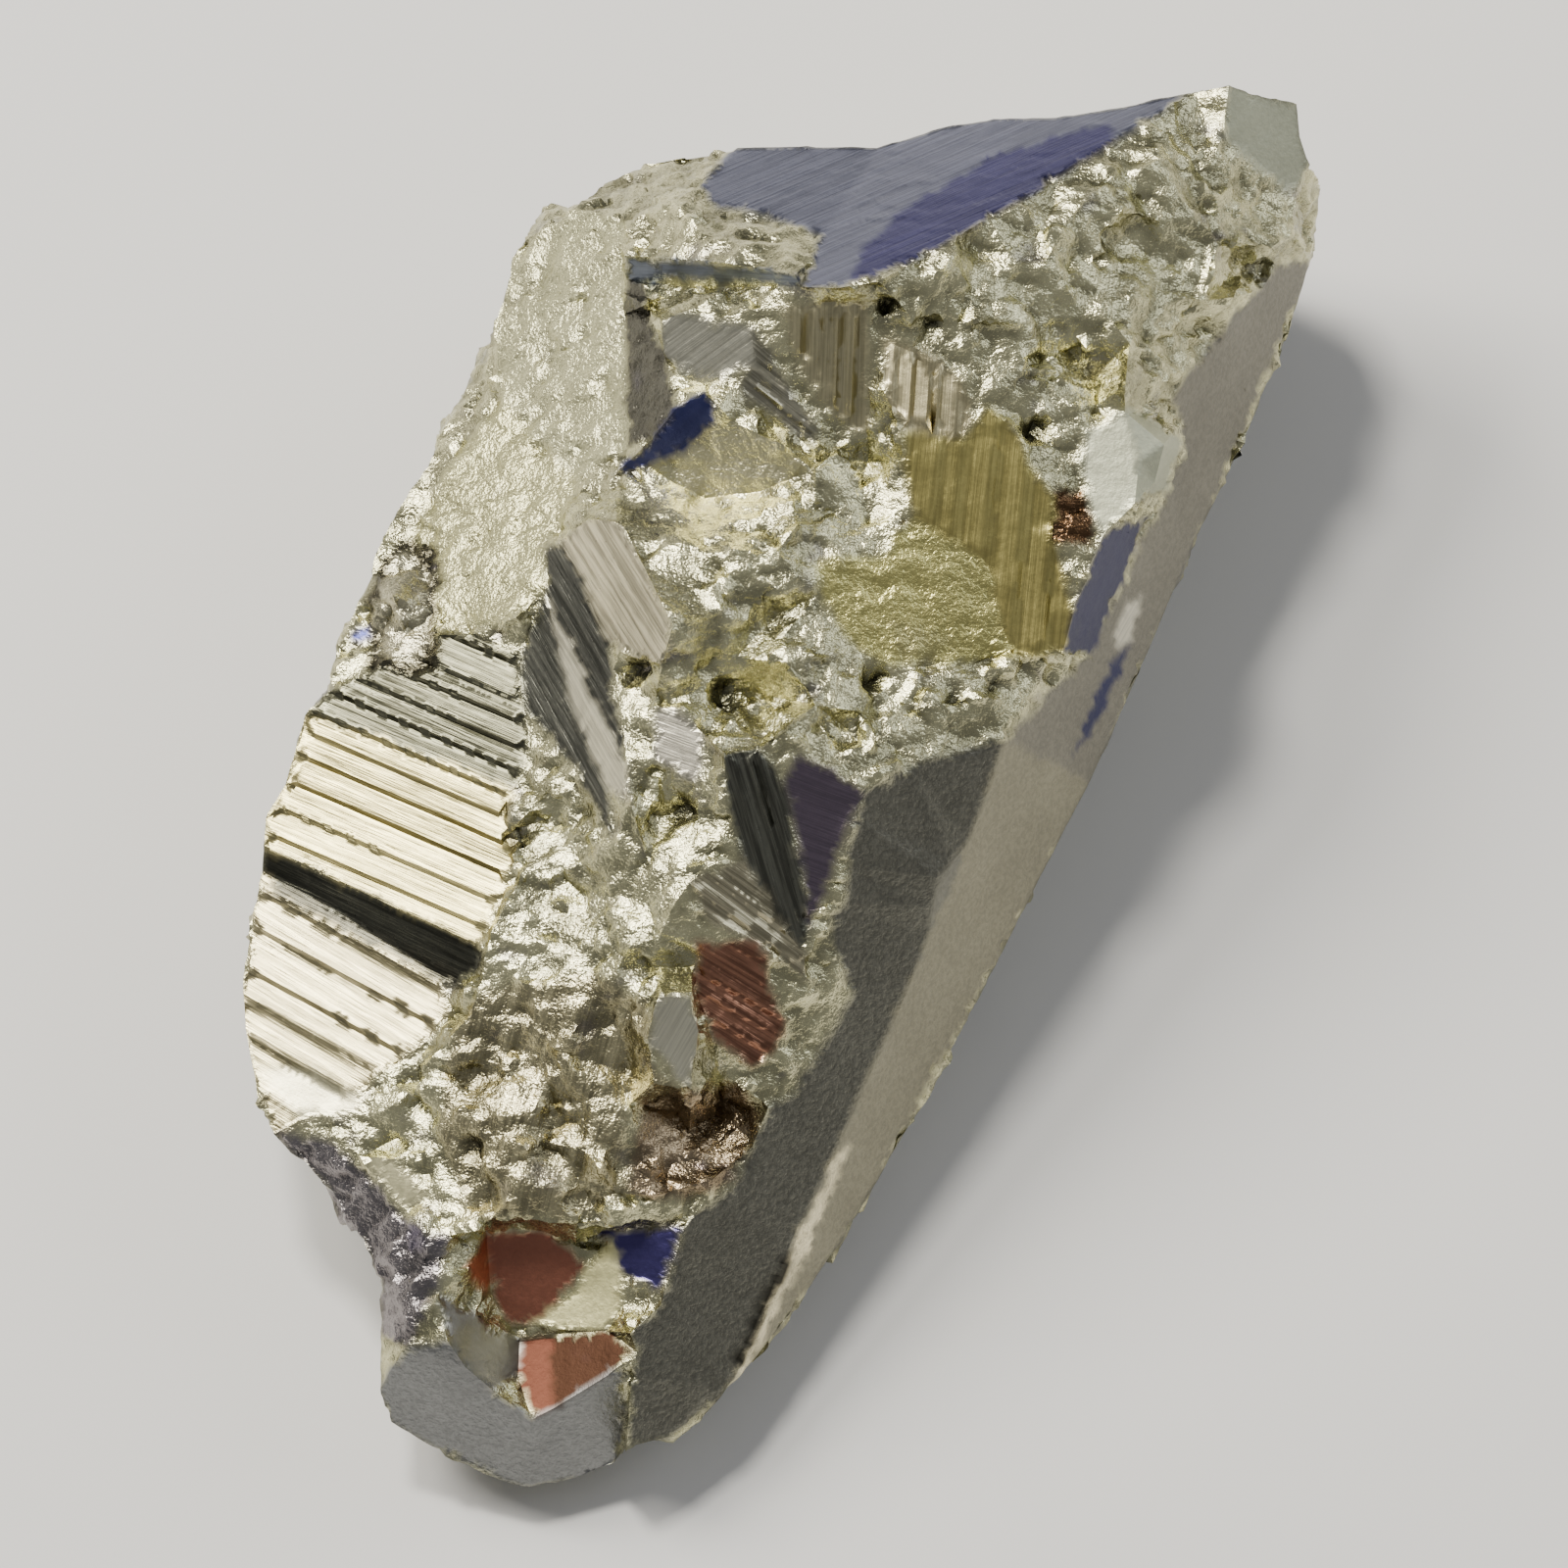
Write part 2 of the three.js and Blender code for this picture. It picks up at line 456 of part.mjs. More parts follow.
function circleThrough(points, corners) {
  const [a, b, c] = corners.map((i) => points[i]);
  const twice = 2 * ((b[0] - a[0]) * (c[1] - a[1]) - (b[1] - a[1]) * (c[0] - a[0]));
  const [bb, cc] = [b, c].map((p) => (p[0] - a[0]) ** 2 + (p[1] - a[1]) ** 2);
  const x = ((c[1] - a[1]) * bb - (b[1] - a[1]) * cc) / twice;
  const y = ((b[0] - a[0]) * cc - (c[0] - a[0]) * bb) / twice;
  return { corners, x: a[0] + x, y: a[1] + y, reach: x * x + y * y };
}

// Delaunay triangles over the view, each as three indices turning anticlockwise.
function triangulate(points) {
  const count = points.length;
  const all = [...points, [-900, -700], [900, -700], [0, 1100]];
  let found = [circleThrough(all, [count, count + 1, count + 2])];
  points.forEach((point, i) => {
    const rim = new Map();
    found = found.filter((t) => {
      if ((point[0] - t.x) ** 2 + (point[1] - t.y) ** 2 >= t.reach) return true;
      t.corners.forEach((a, k) => {
        const b = t.corners[(k + 1) % 3];
        if (!rim.delete(`${b},${a}`)) rim.set(`${a},${b}`, [a, b]);
      });
      return false;
    });
    for (const [a, b] of rim.values()) found.push(circleThrough(all, [a, b, i]));
  });
  return found.map((t) => t.corners).filter((corners) => corners.every((i) => i < count));
}

// Triangles that follow the surveyed edges: an edge they cross is halved until none does, or it is short.
function triangulateAlongEdges(survey) {
  for (;;) {
    const triangles = triangulate(survey.points);
    const present = new Set(triangles.flatMap(([a, b, c]) => [`${a},${b}`, `${b},${c}`, `${c},${a}`]));
    const crossed = survey.edges.filter(([a, b]) => {
      const [p, q] = [survey.points[a], survey.points[b]];
      const long = Math.hypot(p[0] - q[0], p[1] - q[1]) > SHORTEST_EDGE;
      return long && !present.has(`${a},${b}`) && !present.has(`${b},${a}`);
    });
    if (!crossed.length) return triangles;
    const halved = new Set(crossed);
    survey.edges = survey.edges.flatMap((edge) => {
      if (!halved.has(edge)) return [edge];
      const middle = survey.loosen(between(survey.points[edge[0]], survey.points[edge[1]], 0.5));
      return [[edge[0], middle], [middle, edge[1]]];
    });
  }
}

function centreOf(points, corners) {
  return [0, 1].map((k) => (points[corners[0]][k] + points[corners[1]][k] + points[corners[2]][k]) / 3);
}

// The plane height = a + b x + c y that lies closest to some points.
function planeThrough(points) {
  const sum = new THREE.Matrix3().set(0, 0, 0, 0, 0, 0, 0, 0, 0);
  const right = new THREE.Vector3();
  for (const [x, y, height] of points) {
    const row = [1, x, y];
    sum.elements = sum.elements.map((value, k) => value + row[k % 3] * row[Math.floor(k / 3)]);
    right.add(new THREE.Vector3(...row).multiplyScalar(height));
  }
  return right.applyMatrix3(sum.invert());
}

function heightOn(plane, x, y) {
  return plane.x + plane.y * x + plane.z * y;
}

// Presses each face flat: its points move up or down, bit by bit, until each lies on its faces' planes.
function pressFlat(points, members) {
  const surveyed = points.map((p) => p[2]);
  let planes;
  for (let round = 0; round < FLATTEN_ROUNDS; round++) {
    planes = members.map((indices) => planeThrough(indices.map((i) => points[i])));
    const wanted = points.map(() => []);
    members.forEach((indices, f) => {
      for (const i of indices) wanted[i].push(heightOn(planes[f], points[i][0], points[i][1]));
    });
    points.forEach((p, i) => {
      if (!wanted[i].length) return;
      const mean = wanted[i].reduce((a, b) => a + b) / wanted[i].length;
      p[2] = mean + FLATTEN_HOLD * (surveyed[i] - mean);
    });
  }
  return planes;
}

// The height of a triangulated surface above a place in the view.
function heightAt(points, triangles, x, y) {
  for (const corners of triangles) {
    const [a, b, c] = corners.map((i) => points[i]);
    const area = (b[0] - a[0]) * (c[1] - a[1]) - (b[1] - a[1]) * (c[0] - a[0]);
    const v = ((x - a[0]) * (c[1] - a[1]) - (y - a[1]) * (c[0] - a[0])) / area;
    const w = ((b[0] - a[0]) * (y - a[1]) - (b[1] - a[1]) * (x - a[0])) / area;
    if (v >= 0 && w >= 0 && v + w <= 1) return a[2] + v * (b[2] - a[2]) + w * (c[2] - a[2]);
  }
  return null;
}

// The stretches of a straight line across a face that lie inside its outline.
function crossings(outline, origin, along) {
  const cuts = [];
  outline.forEach((a, i) => {
    const b = outline[(i + 1) % outline.length];
    const side = (p) => along[0] * (p[1] - origin[1]) - along[1] * (p[0] - origin[0]);
    if (side(a) > 0 === side(b) > 0) return;
    const [x, y] = between(a, b, side(a) / (side(a) - side(b)));
    cuts.push(along[0] * (x - origin[0]) + along[1] * (y - origin[1]));
  });
  cuts.sort((p, q) => p - q);
  return cuts.flatMap((start, k) => (k % 2 ? [] : [[start + STEP_INSET, cuts[k + 1] - STEP_INSET]]));
}

// Growth steps: pairs of close parallel lines across a face, the first above its plane and the second below.
function addSteps(survey, face, plane) {
  const { along, pitch, rise } = face.steps;
  const turn = THREE.MathUtils.degToRad(along);
  const run = [Math.cos(turn), Math.sin(turn)];
  const up = [-run[1], run[0]];
  const levels = face.outline.map((p) => p[0] * up[0] + p[1] * up[1]);
  const first = Math.min(...levels) + pitch;
  for (let k = 0; first + k * pitch < Math.max(...levels) - pitch / 2; k++) {
    const level = first + (k + 0.5 * (chance(k, along, 8) - 0.5)) * pitch;
    const height = rise * (0.6 + 0.8 * chance(k, along, 9));
    for (const [offset, lift] of [[STEP_GAP / 2, height / 2], [-STEP_GAP / 2, -height / 2]]) {
      const origin = up.map((value) => value * (level + offset));
      for (const [start, end] of crossings(face.outline, origin, run)) {
        if (end - start < pitch) continue;
        const ends = [start, end].map((t) => [origin[0] + t * run[0], origin[1] + t * run[1]]);
        survey.loose(ends.map(([x, y]) => [x, y, heightOn(plane, x, y) + lift]), pitch);
      }
    }
  }
}

// Points of the broken surface: a staggered grid between the faces, clear of every edge, lifted into chips.
function addBreaks(survey, ground, triangles, rim) {
  const outlines = Object.values(faces).map((face) => face.outline);
  const edgePoints = survey.points.slice();
  const box = new THREE.Box2().setFromPoints(rim.map((p) => new THREE.Vector2(p[0], p[1])));
  for (let row = 0, y = box.min.y; y < box.max.y; row++, y += BREAK_STEP * 0.866) {
    for (let x = box.min.x + (row % 2) * BREAK_STEP * 0.5; x < box.max.x; x += BREAK_STEP) {
      const stray = [10, 11].map((salt) => 0.5 * (chance(x, y, salt) - 0.5) * BREAK_STEP);
      const place = [x + stray[0], y + stray[1]];
      const clear = edgePoints.every((p) => Math.hypot(p[0] - place[0], p[1] - place[1]) > 0.62 * BREAK_STEP);
      if (!clear || !inside(rim, ...place) || outlines.some((outline) => inside(outline, ...place))) continue;
      const height = heightAt(ground, triangles, ...place);
      if (height === null) continue;
      const lift = chipLift(...place, CHIP_SIZE) + 0.5 * chipLift(...place, CHIP_SIZE / 2);
      survey.points.push([...place, height + lift]);
    }
  }
}

// The front of the specimen: its points, its triangles and its outer edge in anticlockwise order.
function makeFront() {
  const survey = new Survey();
  const edgeCorners = [...outerEdge].reverse();
  survey.line(edgeCorners, true);
  const named = Object.values(faces);
  const chains = named.map((face) => survey.line(face.outline, true));
  for (const lip of lips) survey.line(lip, false);
  for (const spot of spots) survey.add(spot);
  const planes = pressFlat(survey.points, chains);
  const ground = triangulateAlongEdges(survey);
  const groundPoints = survey.points.map((p) => [...p]);
  named.forEach((face, f) => {
    if (face.steps) addSteps(survey, face, planes[f]);
  });
  addBreaks(survey, groundPoints, ground, edgeCorners);
  const triangles = triangulateAlongEdges(survey);
  const kept = triangles.filter((corners) => inside(edgeCorners, ...centreOf(survey.points, corners)));
  return { points: survey.points, triangles: kept, rim: rimOf(kept) };
}

// The boundary of some triangles, as one loop of indices.
function rimOf(triangles) {
  const single = new Map();
  for (const corners of triangles) {
    corners.forEach((a, k) => {
      const b = corners[(k + 1) % 3];
      if (!single.delete(`${b},${a}`)) single.set(`${a},${b}`, [a, b]);
    });
  }
  const following = new Map(single.values());
  const [start] = following.keys();
  const loop = [start];
  while (loop.length < following.size) loop.push(following.get(loop.at(-1)));
  return loop;
}

// Where a ray from the middle of the foot towards a point crosses the foot's outline.
function footBelow(point) {
  const ray = [point[0] - footCentre[0], point[1] - footCentre[1]];
  for (let i = 0; i < foot.length; i++) {
    const a = [foot[i][0] - footCentre[0], foot[i][1] - footCentre[1]];
    const next = foot[(i + 1) % foot.length];
    const b = [next[0] - footCentre[0], next[1] - footCentre[1]];
    const side = [a, b].map((p) => ray[0] * p[1] - ray[1] * p[0]);
    if (side[0] > 0 || side[1] <= 0) continue;
    const hit = between(a, b, side[0] / (side[0] - side[1]));
    if (hit[0] * ray[0] + hit[1] * ray[1] > 0) return [hit[0] + footCentre[0], hit[1] + footCentre[1]];
  }
  throw new Error("the foot's outline doesn't go round its centre");
}

// From where the eye sees a point, and its height, to where it is.
function place([x, y, height]) {
  const lean = THREE.MathUtils.degToRad(VIEW_LEAN);
  return new THREE.Vector3(x, (y - height * Math.sin(lean)) / Math.cos(lean), height);
}

// The whole skin: the front, rings of sides that tuck in below it, and the flat foot.
function makeSkin() {
  const front = makeFront();
  const corners = front.points.map(place);
  const triangles = [...front.triangles];
  const count = front.rim.length;
  let above = front.rim;
  for (const share of SIDE_RINGS) {
    const ring = front.rim.map((index, k) => {
      const edge = front.points[index];
      const tucked = between(edge, [...footBelow(edge), 0], share ** SIDE_TUCK);
      const height = edge[2] * (1 - share);
      const rough = share < 1 ? SIDE_ROUGHNESS * chipLift(k * EDGE_STEP, height * 2, CHIP_SIZE) : 0;
      const out = new THREE.Vector2(edge[0] - footCentre[0], edge[1] - footCentre[1]).normalize();
      return corners.push(place([tucked[0] + rough * out.x, tucked[1] + rough * out.y, height])) - 1;
    });
    for (let k = 0; k < count; k++) {
      const next = (k + 1) % count;
      triangles.push([above[k], ring[k], above[next]], [above[next], ring[k], ring[next]]);
    }
    above = ring;
  }
  const sole = above.map((i) => new THREE.Vector2(corners[i].x, corners[i].y));
  for (const [a, b, c] of THREE.ShapeUtils.triangulateShape(sole, [])) {
    triangles.push([above[a], above[c], above[b]]);
  }
  return { corners, triangles };
}

function specimenGeometry() {
  const { corners, triangles } = makeSkin();
  const geometry = new THREE.BufferGeometry().setFromPoints(corners);
  geometry.setIndex(triangles.flat());
  geometry.computeBoundingBox();
  const middle = geometry.boundingBox.getCenter(new THREE.Vector3());
  geometry.translate(-middle.x, -middle.y, -geometry.boundingBox.min.z);
  geometry.computeVertexNormals();
  return geometry;
}

const pyrite = new THREE.MeshStandardMaterial({ color: 0xb9ae8a, roughness: 0.32, metalness: 1 });
const specimen = new THREE.Mesh(specimenGeometry(), pyrite);
specimen.name = "pyrite_specimen";

const part = new THREE.Group();
part.add(specimen);

export default part;
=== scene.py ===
# %% [markdown]
# A pyrite specimen: one mass of grown-together crystals with bright broken stone between its flat faces.
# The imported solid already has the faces, ledges and chips. This script gives a finer copy of it the small
# relief (hackly breaks, growth lines, frost, pits) and one metal finish that changes from face to face.

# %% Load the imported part
import math

import bmesh
import bpy
import numpy as np
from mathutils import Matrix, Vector


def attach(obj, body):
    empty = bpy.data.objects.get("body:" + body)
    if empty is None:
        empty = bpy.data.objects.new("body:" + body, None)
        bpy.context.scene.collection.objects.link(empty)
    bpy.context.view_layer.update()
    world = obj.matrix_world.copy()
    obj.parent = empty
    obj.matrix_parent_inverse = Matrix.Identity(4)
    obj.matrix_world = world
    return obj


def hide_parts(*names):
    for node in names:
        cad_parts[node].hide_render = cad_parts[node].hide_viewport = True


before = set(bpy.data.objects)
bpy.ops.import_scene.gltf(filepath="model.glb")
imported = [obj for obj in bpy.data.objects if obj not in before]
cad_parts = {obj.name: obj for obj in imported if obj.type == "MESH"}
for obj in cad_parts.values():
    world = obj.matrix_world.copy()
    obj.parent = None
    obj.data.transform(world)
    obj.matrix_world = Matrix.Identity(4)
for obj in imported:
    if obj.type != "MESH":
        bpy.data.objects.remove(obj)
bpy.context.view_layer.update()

# %% [markdown]
# The eye looks down on the specimen, a little off the vertical. The faces are placed by where that eye
# sees them: millimetres across and up from the middle of the view. A long lens keeps the far end from
# shrinking, and the frame is as wide as the photograph's, so the specimen fills the same share of it.

# %% Camera
MM = 0.001
VIEW_LEAN = math.radians(22)
SURVEY_MIDDLE = (0.166, -5.053)  # the middle of the part's box, in the plan that the view is measured in
AIM_HEIGHT = 20.0
FRAME_WIDTH = 100.0
LENS, SENSOR = 300.0, 36.0
TO_EYE = Vector((0, -math.sin(VIEW_LEAN), math.cos(VIEW_LEAN)))


def on_part(across, up, height):
    """Where a point is that the eye sees at (across, up) and that stands this high, all in millimetres."""
    along = (up - height * math.sin(VIEW_LEAN)) / math.cos(VIEW_LEAN)
    return Vector((across - SURVEY_MIDDLE[0], along - SURVEY_MIDDLE[1], height)) * MM


camera_data = bpy.data.cameras.new("camera")
camera_data.lens, camera_data.sensor_width = LENS, SENSOR
camera_data.clip_start = 0.01
camera = bpy.data.objects.new("camera", camera_data)
bpy.context.scene.collection.objects.link(camera)
camera.location = on_part(0, 0, AIM_HEIGHT) + TO_EYE * (FRAME_WIDTH * MM * LENS / SENSOR)
camera.rotation_euler = (VIEW_LEAN, 0, 0)
bpy.context.scene.camera = camera
print("camera at, mm:", [round(v / MM) for v in camera.location])

# %% [markdown]
# The relief needs points to move. The copy is split where its edges are long: finely on the front, which
# shows every grain, and more coarsely on the sides. Splitting changes no shape, so flat faces stay flat.

# %% A finer copy of the solid
FRONT_EDGE, SIDE_EDGE, FOOT_EDGE = 0.44 * MM, 0.85 * MM, 4 * MM
SPLIT_ROUNDS = 7
SPARED = 1.4  # an edge up to this many times too long is left whole
SEEN, FACING_DOWN = 0.03, -0.95  # least lean to the eye on the front, and most of the normal's Z on the foot
WELD = 0.0005 * MM

stone = bmesh.new()
stone.from_mesh(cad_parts["pyrite_specimen"].data)
bmesh.ops.remove_doubles(stone, verts=stone.verts, dist=WELD)


def longest_edge(face):
    if face.normal.dot(TO_EYE) > SEEN:
        return FRONT_EDGE
    return FOOT_EDGE if face.normal.z < FACING_DOWN else SIDE_EDGE


for _ in range(SPLIT_ROUNDS):
    stone.normal_update()
    limit = {face: longest_edge(face) for face in stone.faces}
    split = [e for e in stone.edges if e.calc_length() > SPARED * min(limit[f] for f in e.link_faces)]
    if not split:
        break
    bmesh.ops.subdivide_edges(stone, edges=split, cuts=1, use_grid_fill=True)
    bmesh.ops.triangulate(stone, faces=[f for f in stone.faces if len(f.verts) > 3])
mesh = bpy.data.meshes.new("pyrite")
stone.to_mesh(mesh)
stone.free()
print("finer copy:", len(mesh.vertices), "points,", len(mesh.polygons), "triangles")

# %% [markdown]
# Pyrite is one metal, but its faces differ: fresh breaks are bright and hackly, grown faces carry growth
# lines, and weathered ones are frosted. Some face colours are painted light: blue and violet faces are
# painted reflections of the sky, and the copper, cream and blue in the hollow are painted reflections.
# Dark risers, walls, sides, a gap, a slit and a groove are painted shade, and the bright lip is a painted
# highlight. Each finish says how much of each relief it takes and how rough it is. Each face then says
# which finish it has, its colour, the angle at which its lines run across the view, and its outline
# there. A face later in the list lies over earlier ones.

# %% Finishes and faces
FINISHES = {  # hackly, growth lines, frost, roughness, fineness of the lines
    "broken": (0.9, 0.0, 0.0, 0.27, 1.0),
    "fibrous": (0.75, 0.8, 0.0, 0.27, 0.8),
    "hammered": (0.4, 0.0, 0.1, 0.33, 1.0),
    "lined": (0.05, 1.0, 0.0, 0.3, 1.0),
    "fine lined": (0.05, 0.55, 0.0, 0.33, 1.6),
    "scratched": (0.04, 0.42, 0.0, 0.32, 2.6),
    "smooth": (0.04, 0.1, 0.15, 0.36, 1.0),
    "satin": (0.04, 0.05, 0.35, 0.5, 1.0),
    "frosted": (0.02, 0.0, 1.0, 0.42, 1.0),
    "weathered": (0.4, 0.0, 0.6, 0.42, 1.0),
    "foot": (0.0, 0.0, 0.6, 0.5, 1.0),
}
BREAK_COLOUR = (216, 212, 170)
SIDE_COLOUR = (150, 148, 124)
WAVER, WAVES = 0.09, ((1.3, 0.4), (3.1, 1.9), (6.3, 4.1))  # reach, and the pace and phase of each wave
STRAIGHT_SIDE, FOOT_HEIGHT = 0.15, 0.3

